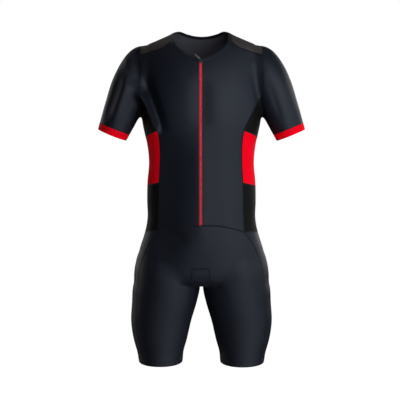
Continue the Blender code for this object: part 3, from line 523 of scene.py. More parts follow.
# ---------------------------------- cut
@dataclass
class Cut:
    """The garment's cut: the seams of the wearer's left half, and the grids of its pieces."""

    form: SuitForm
    fine: int = 5
    neck_band: float = 0.009
    sleeve_band: float = 0.0195
    leg_band: float = 0.0145
    hem_height: float = -0.9125
    hem_tilt: float = 0.05
    hem_rounds: int = 4
    armhole_x: float = 0.171
    armhole_middle: float = -0.12
    apex: float = -0.150
    under_sleeve_turn: float = math.radians(165.0)
    sleeve_end: float = 0.2295
    zip_opening: float = 0.0045
    zip_top: float = -0.0575
    chain_top: float = -0.0660
    chain_end: float = -0.5105
    tape_inner: float = 0.0022
    tape_outer: float = 0.0145
    gusset_half: float = 0.0234
    gusset_top_front: float = -0.631
    gusset_top_back: float = -0.606
    gusset_row_rise: float = 0.015
    gusset_tip: float = -0.797
    gusset_bend_half: float = 0.0249
    gusset_bend: float = -0.655
    gusset_core: float = -0.62
    gusset_sweep: int = 13
    gusset_clear: float = 0.01
    yoke_lead: float = 0.012
    band_rows: int = 4
    neck_edge: Columns = size_table(
        "x height face",
        (0.0045, -0.0548, -1),
        (0.0240, -0.0470, -1),
        (0.0439, -0.0362, -1),
        (0.0597, -0.0237, -1),
        (0.0700, -0.0125, -1),
        (0.0753, -0.0026, -1),
        (0.0762, 0.0105, -1),
        (0.0733, 0.0231, 0),
        (0.0640, 0.0256, 1),
        (0.0430, 0.0203, 1),
        (0.0210, 0.0152, 1),
        (0.0000, 0.0133, 1),
    )
    neck_corners: tuple[int, int] = (5, 9)
    yoke_seam: Columns = size_table(
        "x height",
        (0.0840, -0.0050),
        (0.1025, -0.0205),
        (0.1240, -0.0290),
        (0.1555, -0.0382),
        (0.1710, -0.0420),
    )
    yoke_back: Columns = size_table("x height", (0.1710, -0.0420))
    side_seam: Columns = size_table(
        "x height",
        (0.1710, -0.1500),
        (0.1530, -0.1790),
        (0.1350, -0.2130),
        (0.1192, -0.2508),
        (0.1142, -0.2820),
        (0.1130, -0.3250),
        (0.1165, -0.3970),
        (0.1175, -0.4650),
        (0.1205, -0.5317),
    )
    waist_seam: Columns = size_table(
        "x height",
        (0.0000, -0.5115),
        (0.0532, -0.5131),
        (0.0795, -0.5190),
        (0.1055, -0.5260),
        (0.1205, -0.5317),
    )
    waist_back: Columns = size_table("x height", (0.0000, -0.5200), (0.0600, -0.5230), (0.1205, -0.5317))
    shorts_seam: Columns = size_table(
        "height turn_front turn_back",
        (-0.5317, 51.6, 51.9),
        (-0.5650, 40.0, 42.0),
        (-0.6000, 35.0, 38.0),
        (-0.6500, 34.5, 38.0),
        (-0.7000, 34.8, 38.3),
        (-0.7500, 35.7, 38.8),
        (-0.8000, 39.0, 40.5),
        (-0.8500, 42.8, 43.7),
        (-0.8990, 45.0, 46.4),
    )
    red_top: Columns = size_table("share height", (0.0, -0.2508), (0.5, -0.2745), (1.0, -0.2790))
    red_bottom: Columns = size_table("share height", (0.0, -0.3970), (0.5, -0.4110), (1.0, -0.4140))
    waist_side: Columns = size_table("share height", (0.0, -0.5317), (0.5, -0.5365), (1.0, -0.5317))
    middle_rows: Columns = size_table(
        "front back", (-0.088, -0.030), (-0.178, -0.160), (-0.262, -0.268), (-0.402, -0.405)
    )
    gusset_seam: Columns = size_table(
        "height turn_front turn_back",
        (-0.684, 50.0, 62.0),
        (-0.706, 45.0, 52.0),
        (-0.730, 42.0, 45.0),
        (-0.752, 36.0, 38.0),
        (-0.772, 26.0, 28.0),
        (-0.789, 12.0, 13.0),
        (-0.797, 0.0, 0.0),
    )
    shorts_core: Columns = size_table(
        "height x",
        (-0.960, 0.1160),
        (-0.860, 0.1177),
        (-0.800, 0.1154),
        (-0.750, 0.1065),
        (-0.700, 0.1000),
        (-0.660, 0.0900),
        (-0.600, 0.0750),
        (-0.500, 0.0500),
    )
    half_steps: int = 8
    yoke_steps: tuple[int, int] = (6, 4)
    armhole_steps: int = 6
    side_steps: tuple[int, int, int] = (4, 5, 5)
    sleeve_steps: int = 9
    centre_steps: int = 5
    gusset_steps: tuple[int, int, int] = (2, 8, 6)
    inseam_steps: int = 5
    seams: dict[str, Array] = field(default_factory=dict)
    grids: dict[str, Array] = field(default_factory=dict)

    def __post_init__(self) -> None:
        """Draws all the seams, then cuts all the pieces between them."""
        self.front_face, self.back_face = FaceChart(self.form, -1.0), FaceChart(self.form, 1.0)
        self.round_trunk = RoundChart(self.form, cut=-180)
        self.leg_front = RoundChart(self.form, self.leg_middle, 90)
        self.leg_back = RoundChart(self.form, self.leg_middle, -90)
        self.leg_side = RoundChart(self.form, self.leg_middle, -180)
        self.over, self.under = SleeveChart(self.form, -180), SleeveChart(self.form, 0)
        self.near = Chart(self.form)
        self.draw_neck()
        self.draw_armhole()
        self.draw_sides()
        self.draw_waist()
        self.draw_shorts()
        self.cut_top()
        self.cut_sleeve()
        self.cut_shorts()
        self.cut_gusset()
        self.cut_zip()

    def steps(self, *counts: int) -> tuple[int, ...]:
        """The solids' counts of steps, in this cut's finer steps."""
        return tuple(count * self.fine for count in counts)

    def leg_middle(self, height: Array) -> Array:
        """Where the middle line of one half of the shorts is, to the side."""
        return smooth_at(self.shorts_core["height"], self.shorts_core["x"], height)

    def along_table(self, rows: Columns, face: float, heights: Array) -> Array:
        """A seam that falls steadily, on the front (-1) or the back (1), at the given heights."""
        return self.form.on_face(smooth_at(rows["height"], rows["x"], heights), heights, face)

    def across_table(self, rows: Columns, face: float, places: Array) -> Array:
        """A seam that runs steadily outwards, on the front (-1) or the back (1), at the given x."""
        return self.form.on_face(places, smooth_at(rows["x"], rows["height"], places), face)

    def draw_neck(self) -> None:
        """The neck edge, the neck band's seam, and the yoke's two seams from it."""
        points = self.form.on_face(*(self.neck_edge[k] for k in ("x", "height", "face")))
        along = run_length(points)
        stops = [along[k] for k in (0, *self.neck_corners, len(points) - 1)]
        half, over = self.steps(self.half_steps, self.yoke_steps[0])
        at = spaced(stops, (half, over, half))
        edge = self.form.settle(np.stack([smooth_at(along, points[:, k], at) for k in range(3)], axis=1))
        ways = np.cross(np.gradient(edge, axis=0), self.form.outward(edge))
        ways[[0, -1], 0] = 0.0
        seam = self.form.settle(edge + unit(ways) * self.neck_band)
        for line in (edge, seam):
            line[0, 0], line[-1, 0] = self.zip_opening, 0.0
        shares = np.linspace(0, 1, self.band_rows + 1)[1:-1, None, None]
        between = self.form.settle(edge * (1 - shares) + seam * shares)
        band = np.concatenate([edge[None], between, seam[None]])
        self.grids["neck_band"] = np.concatenate([band, mirrored(band)[:, -2::-1]], axis=1)
        self.seams["neck"] = seam
        self.seams["yoke_front"] = self.draw_yoke_seam(self.yoke_seam, seam[half], -1)
        self.seams["yoke_back"] = self.draw_yoke_seam(self.yoke_back, seam[half + over], 1)

    def draw_yoke_seam(self, table: Columns, corner: Array, face: float) -> Array:
        """From the neck band's corner out to the armhole.

        Args:
            table: The seam's rows.
            corner: Where it starts.
            face: -1 on the front and 1 on the back.

        Returns:
            The seam.
        """
        keep = table["x"] > corner[0] + self.yoke_lead
        rows = {
            "x": np.concatenate([[corner[0]], table["x"][keep]]),
            "height": np.concatenate([[corner[2]], table["height"][keep]]),
        }
        places = np.linspace(corner[0], self.armhole_x, self.steps(self.yoke_steps[1])[0] + 1)
        line = self.across_table(rows, face, places)
        line[0] = corner
        return line

    def draw_armhole(self) -> None:
        """The armhole's four stretches, in its upright plane."""
        ends = [self.seams["yoke_front"][-1], *self.form.on_face(self.armhole_x, self.apex, (-1, 1))]
        ends.append(self.seams["yoke_back"][-1])
        turns = [math.atan2(-y, z - self.armhole_middle) % (2 * math.pi) for _, y, z in ends]
        count, top = self.steps(self.armhole_steps, self.yoke_steps[0])
        stretches = {
            "armhole_front": (turns[0], turns[1], count),
            "armpit": (turns[1], turns[2], count),
            "armhole_back": (turns[2], turns[3], count),
            "armhole_top": (turns[0], turns[3] - 2 * math.pi, top),
        }
        for name, (start, end, number) in stretches.items():
            turn = np.linspace(start, end, number + 1)
            ways = stack(0, -np.sin(turn), np.cos(turn))
            self.seams[name] = self.form.cast((self.armhole_x, 0, self.armhole_middle), ways)

    def draw_sides(self) -> None:
        """The side panels' front and back seams, and the edges that cross between them."""
        tables = (self.red_top, self.red_bottom, self.waist_side)
        for name, face, end in (("side_front", -1, 0), ("side_back", 1, -1)):
            heights = [self.apex, *(rows["height"][end] for rows in tables)]
            for k, count in enumerate(self.steps(*self.side_steps)):
                stretch = np.linspace(heights[k], heights[k + 1], count + 1)
                self.seams[f"{name}_{k}"] = self.along_table(self.side_seam, face, stretch)
        count = self.steps(self.armhole_steps)[0]
        for k, (name, rows) in enumerate(zip(("red_top", "red_bottom", "waist_side"), tables)):
            ends = self.seams[f"side_front_{k}"][-1], self.seams[f"side_back_{k}"][-1]
            share = np.linspace(0, 1, count + 1)
            turns = [math.atan2(end[1], end[0]) for end in ends]
            heights = smooth_at(rows["share"], rows["height"], share)
            line = self.round_trunk.point(turns[0] + (turns[1] - turns[0]) * share, heights)
            line[0], line[-1] = ends
            self.seams[name] = line

    def draw_waist(self) -> None:
        """The waist seam in front and behind, the front's edge at the zip, and the back's middle."""
        half = self.steps(self.half_steps)[0]
        corner_front, corner_back = self.seams["side_front_2"][-1], self.seams["side_back_2"][-1]
        places = np.linspace(self.zip_opening, corner_front[0], half + 1)
        front = self.across_table(self.waist_seam, -1, places)
        back = self.across_table(self.waist_back, 1, np.linspace(0, corner_back[0], half + 1))
        front[-1], back[-1] = corner_front, corner_back
        neck = self.seams["neck"]
        counts = self.steps(self.yoke_steps[1], self.armhole_steps, *self.side_steps)
        rows = self.middle_rows
        zip_heights = spaced((neck[0, 2], *rows["front"], front[0, 2]), counts)
        zip_edge = self.form.on_face(self.zip_opening, zip_heights, -1)
        middle = self.form.on_face(0, spaced((neck[-1, 2], *rows["back"], back[0, 2]), counts), 1)
        zip_edge[0], zip_edge[-1] = neck[0], front[0]
        middle[0], middle[-1] = neck[-1], back[0]
        self.seams |= {"waist_front": front, "waist_back": back, "zip_edge": zip_edge, "back_middle": middle}
        self.seams["waist_middle"] = self.form.on_face((0.0,), self.waist_seam["height"][0], -1)

    def hem_line(self, turns: Array, up: float) -> Array:
        """A line round the leg, a distance up from its hem.

        Args:
            turns: The turns round the leg's middle line.
            up: The distance.

        Returns:
            The line.
        """
        level = self.hem_height + up
        height = np.full(len(turns), level)
        for _ in range(self.hem_rounds):
            line = self.leg_front.point(turns, height)
            height = level + self.hem_tilt * line[:, 1]
        return line

    def draw_shorts_side(self, face: float, gusset_top: float, corner: Array) -> Array:
        """The shorts' side seam, from the waist to the top of the leg band.

        Args:
            face: -1 on the front and 1 on the back.
            gusset_top: The height of the gusset's top edge on that face.
            corner: Where the seam starts.

        Returns:
            The seam.
        """
        turns = self.shorts_seam["turn_front" if face < 0 else "turn_back"] * face
        end = corner
        for _ in range(self.hem_rounds):
            low = self.hem_height + self.leg_band + self.hem_tilt * end[1]
            end = self.leg_front.point(math.radians(turns[-1]), low)
        top, seam, _ = self.gusset_steps
        counts = self.steps(self.centre_steps, top, seam + self.inseam_steps)
        heights = spaced((corner[2], gusset_top + self.gusset_row_rise, gusset_top, end[2]), counts)
        turns = np.radians(smooth_at(self.shorts_seam["height"], turns, heights))
        line = self.leg_front.point(turns, heights)
        line[0], line[-1] = corner, end
        return line

    def draw_gusset_seam(self, face: float, top: float) -> Array:
        """From the corner of the gusset's top edge down the inside of the leg to its point.

        Args:
            face: -1 on the front and 1 on the back.
            top: The height of the top edge.

        Returns:
            The seam.
        """
        upper = self.form.on_face((self.gusset_half, self.gusset_bend_half), (top, self.gusset_bend), face)
        turns = np.radians(self.gusset_seam["turn_front" if face < 0 else "turn_back"])
        lower = self.leg_front.point(math.pi - face * turns, self.gusset_seam["height"])
        return self.form.seam(np.concatenate([upper, lower]), self.steps(self.gusset_steps[1])[0])

    def draw_shorts(self) -> None:
        """The shorts' seams and the leg band's upper line."""
        tops = {"front": (-1, self.gusset_top_front), "back": (1, self.gusset_top_back)}
        for side, (face, top) in tops.items():
            corner = self.seams[f"waist_{side}"][-1]
            self.seams[f"shorts_{side}"] = self.draw_shorts_side(face, top, corner)
            self.seams[f"gusset_{side}"] = self.draw_gusset_seam(face, top)
        half, side = self.steps(self.half_steps, self.armhole_steps)
        front_turn = self.leg_front.measure(self.seams["shorts_front"][-1])[0]
        back_turn = self.leg_back.measure(self.seams["shorts_back"][-1])[0] + 2 * math.pi
        turns = (
            np.linspace(math.pi, front_turn, half + 2),
            np.linspace(front_turn, back_turn, side + 1),
            np.linspace(back_turn, 3 * math.pi, half + 1),
        )
        bands = [self.hem_line(turn, self.leg_band) for turn in turns]
        bands[0][-1] = bands[1][0] = self.seams["shorts_front"][-1]
        bands[1][-1] = bands[2][0] = self.seams["shorts_back"][-1]
        self.leg_turns = joined(*turns)
        self.seams |= {"band_front": bands[0], "band_side": bands[1], "band_back": bands[2]}
        ends = {"front": bands[0][0], "back": bands[2][-1]}
        for side, (face, top) in tops.items():
            waist = self.seams["waist_middle" if face < 0 else "waist_back"][0, 2]
            centre, across, inseam = self.steps(self.centre_steps, self.gusset_steps[0], self.inseam_steps)
            middle = self.form.on_face(0, np.linspace(waist, top, centre + 1), face)
            edge = self.form.on_face(np.linspace(0, self.gusset_half, across + 1), top, face)
            down = np.linspace(self.gusset_tip, ends[side][2], inseam + 1)
            inside = self.leg_front.point(np.full(inseam + 1, math.pi), down)
            self.seams[f"centre_{side}"], self.seams["inseam"] = middle, inside
            self.seams[f"inner_{side}"] = joined(middle, edge, self.seams[f"gusset_{side}"], inside)

    def sides(self, name: str) -> list[Array]:
        """The three stretches of a side panel's seam."""
        return [self.seams[f"{name}_{k}"] for k in range(3)]

    def cut_top(self) -> None:
        """The fronts, the back, the yokes and the side panels."""
        s = self.seams
        half, over = self.steps(self.half_steps, self.yoke_steps[0])
        front_side = joined(s["yoke_front"], s["armhole_front"], *self.sides("side_front"))
        back_side = joined(s["yoke_back"], s["armhole_back"][::-1], *self.sides("side_back"))
        neck = s["neck"]
        self.grids["front"] = self.front_face.patch(
            neck[: half + 1], s["waist_front"], s["zip_edge"], front_side
        )
        self.grids["back"] = self.across_middle(
            self.back_face.patch(neck[: half + over - 1 : -1], s["waist_back"], s["back_middle"], back_side)
        )
        self.grids["yoke"] = YokeChart(self.form).patch(
            s["yoke_front"], s["yoke_back"], neck[half : half + over + 1], s["armhole_top"]
        )
        crossings = (s["armpit"], s["red_top"], s["red_bottom"], s["waist_side"])
        charts = (self.near, self.round_trunk, self.round_trunk)
        for k, (name, chart) in enumerate(zip(("side_upper", "side_red", "side_lower"), charts)):
            self.grids[name] = chart.patch(
                crossings[k], crossings[k + 1], s[f"side_front_{k}"], s[f"side_back_{k}"]
            )

    def cut_sleeve(self) -> None:
        """The sleeve, the gore under it and its red band."""
        s = self.seams
        top = joined(s["armhole_front"][::-1], s["armhole_top"], s["armhole_back"][::-1])
        band_start = self.sleeve_end - self.sleeve_band
        turn = self.under_sleeve_turn
        share = np.linspace(0, 1, self.steps(self.sleeve_steps)[0] + 1)
        ends = {"front": (s["armpit"][0], turn), "back": (s["armpit"][-1], 2 * math.pi - turn)}
        for side, (start, end_turn) in ends.items():
            first, along = self.under.measure(start)
            line = self.under.point(first + (end_turn - first) * share, along + (band_start - along) * share)
            line[0] = start
            s[f"under_{side}"] = line
        over_turns = np.linspace(turn, -turn, len(top))
        under_turns = np.linspace(turn, 2 * math.pi - turn, len(s["armpit"]))
        cuff_over = self.over.point(over_turns, np.full(len(over_turns), band_start))
        cuff_under = self.under.point(under_turns, np.full(len(under_turns), band_start))
        cuff_over[0] = cuff_under[0] = s["under_front"][-1]
        cuff_over[-1] = cuff_under[-1] = s["under_back"][-1]
        self.grids["sleeve"] = self.over.patch(top, cuff_over, s["under_front"], s["under_back"])
        self.grids["sleeve_under"] = self.under.patch(
            s["armpit"], cuff_under, s["under_front"], s["under_back"]
        )
        s["cuff"] = joined(cuff_over, cuff_under[::-1])
        turns = np.concatenate([over_turns, under_turns[-2::-1] - 2 * math.pi])
        alongs = np.linspace(band_start, self.sleeve_end, self.band_rows + 1)[1:]
        lines = [self.under.point(turns, np.full(len(turns), along)) for along in alongs]
        self.grids["cuff"] = np.stack([s["cuff"], *lines])

    def cut_shorts(self) -> None:
        """The shorts' panels and the leg band."""
        s = self.seams
        self.grids["short_front"] = self.leg_front.patch(
            np.concatenate([s["waist_middle"], s["waist_front"]]),
            s["band_front"],
            s["inner_front"],
            s["shorts_front"],
        )
        self.grids["short_side"] = self.leg_side.patch(
            s["waist_side"], s["band_side"], s["shorts_front"], s["shorts_back"]
        )
        self.grids["short_back"] = self.leg_back.patch(
            s["waist_back"], s["band_back"][::-1], s["inner_back"], s["shorts_back"]
        )
        s["leg_band"] = joined(s["band_front"], s["band_side"], s["band_back"])
        ups = np.linspace(self.leg_band, 0, self.band_rows + 1)[1:]
        self.grids["leg_band"] = np.stack([s["leg_band"], *(self.hem_line(self.leg_turns, up) for up in ups)])

    def cut_gusset(self) -> None:
        """The crotch gusset, one piece across the middle."""
        s = self.seams
        _, seam_steps, wide = self.gusset_steps
        outer = joined(s["gusset_front"], s["gusset_back"][::-1])
        turns = np.linspace(0, math.pi, self.gusset_sweep)[1:-1]
        crotch = self.form.cast((0, 0, self.gusset_core), stack(0, -np.cos(turns), -np.sin(turns)))
        crotch = crotch[crotch[:, 2] < self.gusset_top_front - self.gusset_clear]
        heights = (self.gusset_top_front, self.gusset_top_back)
        ends = self.form.on_face(0, heights, (-1, 1))
        line = np.concatenate([ends[:1], crotch, ends[1:]])
        middle = self.form.seam(line, 2 * self.steps(seam_steps)[0])
        across = np.linspace(0, self.gusset_half, self.steps(wide)[0] + 1)
        tops = [self.form.on_face(across, height, face) for height, face in zip(heights, (-1, 1))]
        s["gusset_edge_front"], s["gusset_edge_back"], s["gusset_outer"] = *tops, outer
        self.grids["gusset"] = self.across_middle(self.near.patch(tops[0], tops[1], middle, outer))

    def cut_zip(self) -> None:
        """The zip's tapes, in rows that match the front's edge."""
        between = self.seams["zip_edge"][:, 2]
        between = between[(between < self.zip_top) & (between > self.chain_end)]
        rows = np.concatenate([[self.zip_top], between, [self.chain_end]])
        places = np.linspace(self.tape_inner, self.tape_outer, self.band_rows + 1)
        self.grids["zip_tape"] = self.form.on_face(places[None, :], rows[:, None], -1)

    @staticmethod
    def across_middle(grid: Array) -> Array:
        """One piece across the middle, from a half whose first column is on the middle."""
        return np.concatenate([mirrored(grid)[:, :0:-1], grid], axis=1)


# ---------------------------------- folds
@dataclass
class Drape:
    """The lie of the cloth: soft folds and broad hollows along lines seen from the front.

    Each row gives a line's two ends, its half width, how far out it goes, and the face that it is on: -1 is
    the front and 1 the back. Folds go out of the cloth, and hollows straight to the front or back, so that
    the seams don't shift to the side.
    """

    fade: float = 0.012
    taper: float = 0.3
    folds: Columns = size_table(
        "x_from height_from x_to height_to width out face",
        (-0.1930, -0.1050, -0.2330, -0.2330, 0.010, 0.0025, -1),
        (0.2060, -0.0700, 0.2560, -0.2050, 0.014, 0.0020, -1),
        (0.1830, -0.1050, 0.2260, -0.2350, 0.010, -0.0020, -1),
        (0.1650, -0.1350, 0.1230, -0.2450, 0.010, 0.0018, -1),
        (-0.0600, -0.6800, -0.0330, -0.6850, 0.006, -0.0022, -1),
        (0.0600, -0.6790, 0.0360, -0.6850, 0.006, -0.0022, -1),
        (-0.0310, -0.5470, -0.0110, -0.5700, 0.004, 0.0005, -1),
        (0.0200, -0.5400, 0.0090, -0.5660, 0.004, 0.0004, -1),
        (-0.0900, -0.6650, -0.0420, -0.6900, 0.005, 0.0009, -1),
        (0.0900, -0.6660, 0.0440, -0.6900, 0.005, 0.0009, -1),
        (-0.0800, -0.7150, -0.0400, -0.7000, 0.006, -0.0007, -1),
        (0.0800, -0.7150, 0.0420, -0.7000, 0.006, -0.0007, -1),
        (-0.1020, -0.4600, -0.0850, -0.5050, 0.006, 0.0006, -1),
        (0.1020, -0.4600, 0.0850, -0.5050, 0.006, 0.0006, -1),
        (0.2350, -0.0900, 0.2700, -0.2000, 0.008, -0.0008, -1),
        (-0.1400, -0.1500, -0.0700, -0.2300, 0.009, 0.0014, 1),
        (0.1400, -0.1500, 0.0700, -0.2300, 0.009, 0.0014, 1),
        (-0.0900, -0.4300, 0.0900, -0.4350, 0.008, -0.0012, 1),
        (-0.0800, -0.4650, 0.0800, -0.4700, 0.007, 0.0012, 1),
        (-0.1000, -0.6900, -0.0300, -0.7050, 0.006, -0.0012, 1),
        (0.1000, -0.6900, 0.0300, -0.7050, 0.006, -0.0012, 1),
        (-0.2100, -0.0900, -0.2450, -0.2200, 0.010, 0.0015, 1),
        (0.2100, -0.0900, 0.2450, -0.2200, 0.010, 0.0015, 1),
    )
    hollows: Columns = size_table(
        "x_from height_from x_to height_to width out face",
        (-0.1779, -0.1268, -0.1180, -0.2736, 0.014, 0.0280, -1),
        (-0.1560, -0.0900, -0.0990, -0.2700, 0.013, -0.0115, -1),
        (-0.1670, -0.1430, -0.1450, -0.2120, 0.012, 0.0060, -1),
        (-0.1790, -0.0100, -0.1790, -0.1400, 0.020, -0.0140, -1),
        (-0.2330, 0.0000, -0.2450, -0.1000, 0.048, -0.0180, -1),
        (-0.2121, -0.0680, -0.2719, -0.2394, 0.010, -0.0050, -1),
        (-0.1990, -0.0900, -0.2500, -0.2450, 0.011, 0.0060, -1),
        (-0.0860, -0.2200, -0.1060, -0.6600, 0.048, -0.0160, -1),
        (0.0020, -0.0900, 0.0050, -0.2550, 0.026, -0.0050, -1),
        (0.0000, -0.2200, 0.0000, -0.6000, 0.024, 0.0042, -1),
        (-0.1120, -0.5073, -0.0330, -0.5700, 0.012, -0.0024, -1),
    )

    def moves(self, points: Array, out: Array) -> Array:
        """How far, and which way, the cloth is moved at each point.

        Args:
            points: Points on the form.
            out: The outward direction at each point.

        Returns:
            The moves.
        """
        moves = out * sum(self.one(points, row) for row in zip(*self.folds.values()))[..., None]
        for row in zip(*self.hollows.values()):
            moves[..., 1] += row[-1] * self.one(points, row)
        return moves

    def one(self, points: Array, row: Sequence[float]) -> Array:
        """How far one fold or hollow lifts the cloth.

        Args:
            points: Points on the form.
            row: The row that gives it.

        Returns:
            The heights.
        """
        x0, z0, x1, z1, width, out, face = row
        run = np.array((x1 - x0, z1 - z0))
        off = points[..., ::2] - (x0, z0)
        share = np.clip(off @ run / (run @ run), 0, 1)
        away = np.linalg.norm(off - share[..., None] * run, axis=-1)
        ends = np.clip(np.minimum(share, 1 - share) / self.taper, 0, 1)
        side = np.clip(points[..., 1] * face / self.fade, 0, 1)
        return out * np.exp(-((away / width) ** 2)) * ends**2 * (3 - 2 * ends) * side


# ---------------------------------- materials
@dataclass
class Graph:
    """Adds and joins the nodes of one material or node group."""

    tree: bpy.types.NodeTree

    def add(
        self, kind: str, inputs: dict[str | int, object] | None = None, **settings: object
    ) -> bpy.types.Node:
        """Adds a node.

        Args:
            kind: The node's type.
            inputs: Values, or sockets of other nodes, by input.
            settings: The node's own settings.

        Returns:
            The node.
        """
        node = self.tree.nodes.new(kind)
        for name, value in settings.items():
            setattr(node, name, value)
        for name, value in (inputs or {}).items():
            self.feed(node.inputs[name], value)
        return node

    def feed(self, socket: Socket, value: object) -> None:
        """Joins a socket to another, or sets its value.

        Args:
            socket: The socket that is fed.
            value: A value, or a socket of another node.
        """
        if isinstance(value, Socket):
            self.tree.links.new(value, socket)
        else:
            socket.default_value = value

    def math(self, operation: str, *values: object) -> Socket:
        """The result of a sum on numbers."""
        return self.add("ShaderNodeMath", dict(enumerate(values)), operation=operation).outputs[0]

    def ramp(self, value: Socket, low: float, high: float, start: float = 0.0, end: float = 1.0) -> Socket:
        """A value turned from low..high into start..end, and held at the ends."""
        inputs = {"Value": value, "From Min": low, "From Max": high, "To Min": start, "To Max": end}
        return self.add("ShaderNodeMapRange", inputs).outputs["Result"]

    def mix(self, share: object, first: object, second: object) -> Socket:
        """A colour between two.

        Args:
            share: The second colour's share.
            first: The first colour.
            second: The second colour.

        Returns:
            The colour.
        """
        node = self.add("ShaderNodeMix", data_type="RGBA")
        for name, value in (("Factor_Float", share), ("A_Color", first), ("B_Color", second)):
            self.feed(next(socket for socket in node.inputs if socket.identifier == name), value)
        return next(socket for socket in node.outputs if socket.identifier == "Result_Color")

    def sum_of(self, *parts: tuple[Socket, float]) -> Socket:
        """Two values added, each with its share."""
        return self.math("ADD", *(self.math("MULTIPLY", value, share) for value, share in parts))

    def wave(self, value: Socket, pitch: object, phase: object = 0.0) -> Socket:
        """A cosine of a length, from -1 to 1, once in each pitch."""
        turns = self.math("ADD", self.math("DIVIDE", value, pitch), phase)
        return self.math("COSINE", self.math("MULTIPLY", turns, 2 * math.pi))


class Effect(Enum):
    """The shared surface effects."""

    KNIT = "fine knit"
    MESH = "open mesh"
    TWILL = "woven tape"
    MOTTLE = "mottling"


@dataclass
class EffectShelf:
    """Builds each shared effect's node group when it is first asked for."""

    made: dict[Effect, bpy.types.NodeTree] = field(default_factory=dict)
    leg_slant: float = 0.5
    leg_share: float = 0.6
    row_stretch: float = 1.15
    hole_edge: float = 0.95
    broad_share: float = 0.7
    broad_detail: float = 3.0
    fine_detail: float = 2.0
    mottle_range: tuple[float, float] = (0.35, 0.65)

    def get(self, effect: Effect) -> bpy.types.NodeTree:
        """The node group of an effect.

        Args:
            effect: The effect.

        Returns:
            Its node group.
        """
        if effect not in self.made:
            build = {
                Effect.KNIT: self.knit,
                Effect.MESH: self.mesh,
                Effect.TWILL: self.twill,
                Effect.MOTTLE: self.mottle,
            }
            self.made[effect] = build[effect]()
        return self.made[effect]

    @staticmethod
    def begin(
        effect: Effect, inputs: dict[str, float], outputs: Iterable[str]
    ) -> tuple[Graph, bpy.types.Node, bpy.types.Node]:
        """Starts a group that reads a place and some sizes, and puts out numbers.

        Args:
            effect: The effect that it makes.
            inputs: Its sizes, with their usual values.
            outputs: Its results.

        Returns:
            The group's graph, its input node and its output node.
        """
        tree = bpy.data.node_groups.new(effect.value, "ShaderNodeTree")
        tree.interface.new_socket("Place", in_out="INPUT", socket_type="NodeSocketVector")
        for title, value in inputs.items():
            socket = tree.interface.new_socket(title, in_out="INPUT", socket_type="NodeSocketFloat")
            socket.default_value = value
        for title in outputs:
            tree.interface.new_socket(title, in_out="OUTPUT", socket_type="NodeSocketFloat")
        graph = Graph(tree)
        return graph, graph.add("NodeGroupInput"), graph.add("NodeGroupOutput")

    def knit(self) -> bpy.types.NodeTree:
        """Rows of knitted loops: wales run along V, and each is two slanted legs.

        Returns:
            The group.
        """
        graph, given, result = self.begin(Effect.KNIT, {"Wale": 0.0009, "Course": 0.0011}, ("Height", "Tone"))
        place = graph.add("ShaderNodeSeparateXYZ", {0: given.outputs["Place"]})
        legs = graph.wave(place.outputs["X"], given.outputs["Wale"])
        slant = graph.math("MULTIPLY", graph.math("ABSOLUTE", legs), self.leg_slant)
        loops = graph.wave(place.outputs["Y"], given.outputs["Course"], slant)
        height = graph.sum_of((legs, self.leg_share), (loops, 1 - self.leg_share))
        graph.feed(result.inputs["Height"], height)
        # Tone rises with the relief's height; the material paints the low parts darker, as painted shade.
        graph.feed(result.inputs["Tone"], graph.ramp(height, -1.0, 1.0))
        return graph.tree

    def mesh(self) -> bpy.types.NodeTree:
        """Small round holes in staggered rows.

        Returns:
            The group.
        """
        graph, given, result = self.begin(Effect.MESH, {"Pitch": 0.0026, "Hole": 0.55}, ("Height", "Tone"))
        place = graph.add("ShaderNodeSeparateXYZ", {0: given.outputs["Place"]})
        pitch = given.outputs["Pitch"]
        first = graph.wave(place.outputs["X"], pitch)
        second = graph.wave(place.outputs["Y"], graph.math("MULTIPLY", pitch, self.row_stretch))
        both = graph.math("MULTIPLY", first, second)
        hole = graph.ramp(both, given.outputs["Hole"], self.hole_edge)
        graph.feed(result.inputs["Height"], graph.math("SUBTRACT", 1.0, hole))
        # Tone marks the holes, which the material paints dark, as painted shade.
        graph.feed(result.inputs["Tone"], hole)
        return graph.tree

    def twill(self) -> bpy.types.NodeTree:
        """Slanted ribs of thread, such as a woven tape's or a flat seam's.

        Returns:
            The group.
        """
        graph, given, result = self.begin(Effect.TWILL, {"Pitch": 0.0012, "Slant": 0.5}, ("Height", "Tone"))
        place = graph.add("ShaderNodeSeparateXYZ", {0: given.outputs["Place"]})
        slide = graph.math("MULTIPLY", graph.math("ABSOLUTE", place.outputs["X"]), given.outputs["Slant"])
        ribs = graph.wave(graph.math("ADD", place.outputs["Y"], slide), given.outputs["Pitch"])
        graph.feed(result.inputs["Height"], ribs)
        # Tone rises with the ribs' height; the material paints the grooves darker, as painted shade.
        graph.feed(result.inputs["Tone"], graph.ramp(ribs, -1.0, 1.0))
        return graph.tree

    def mottle(self) -> bpy.types.NodeTree:
        """Soft, broad variation of shade, with a finer part.

        Returns:
            The group.
        """
        graph, given, result = self.begin(Effect.MOTTLE, {"Scale": 9.0, "Fine": 140.0}, ("Tone",))
        noise = []
        for size, detail in (("Scale", self.broad_detail), ("Fine", self.fine_detail)):
            inputs = {"Vector": given.outputs["Place"], "Scale": given.outputs[size], "Detail": detail}
            noise.append(graph.add("ShaderNodeTexNoise", inputs).outputs["Fac"])
        both = graph.sum_of((noise[0], self.broad_share), (noise[1], 1 - self.broad_share))
        graph.feed(result.inputs["Tone"], graph.ramp(both, *self.mottle_range))
        return graph.tree


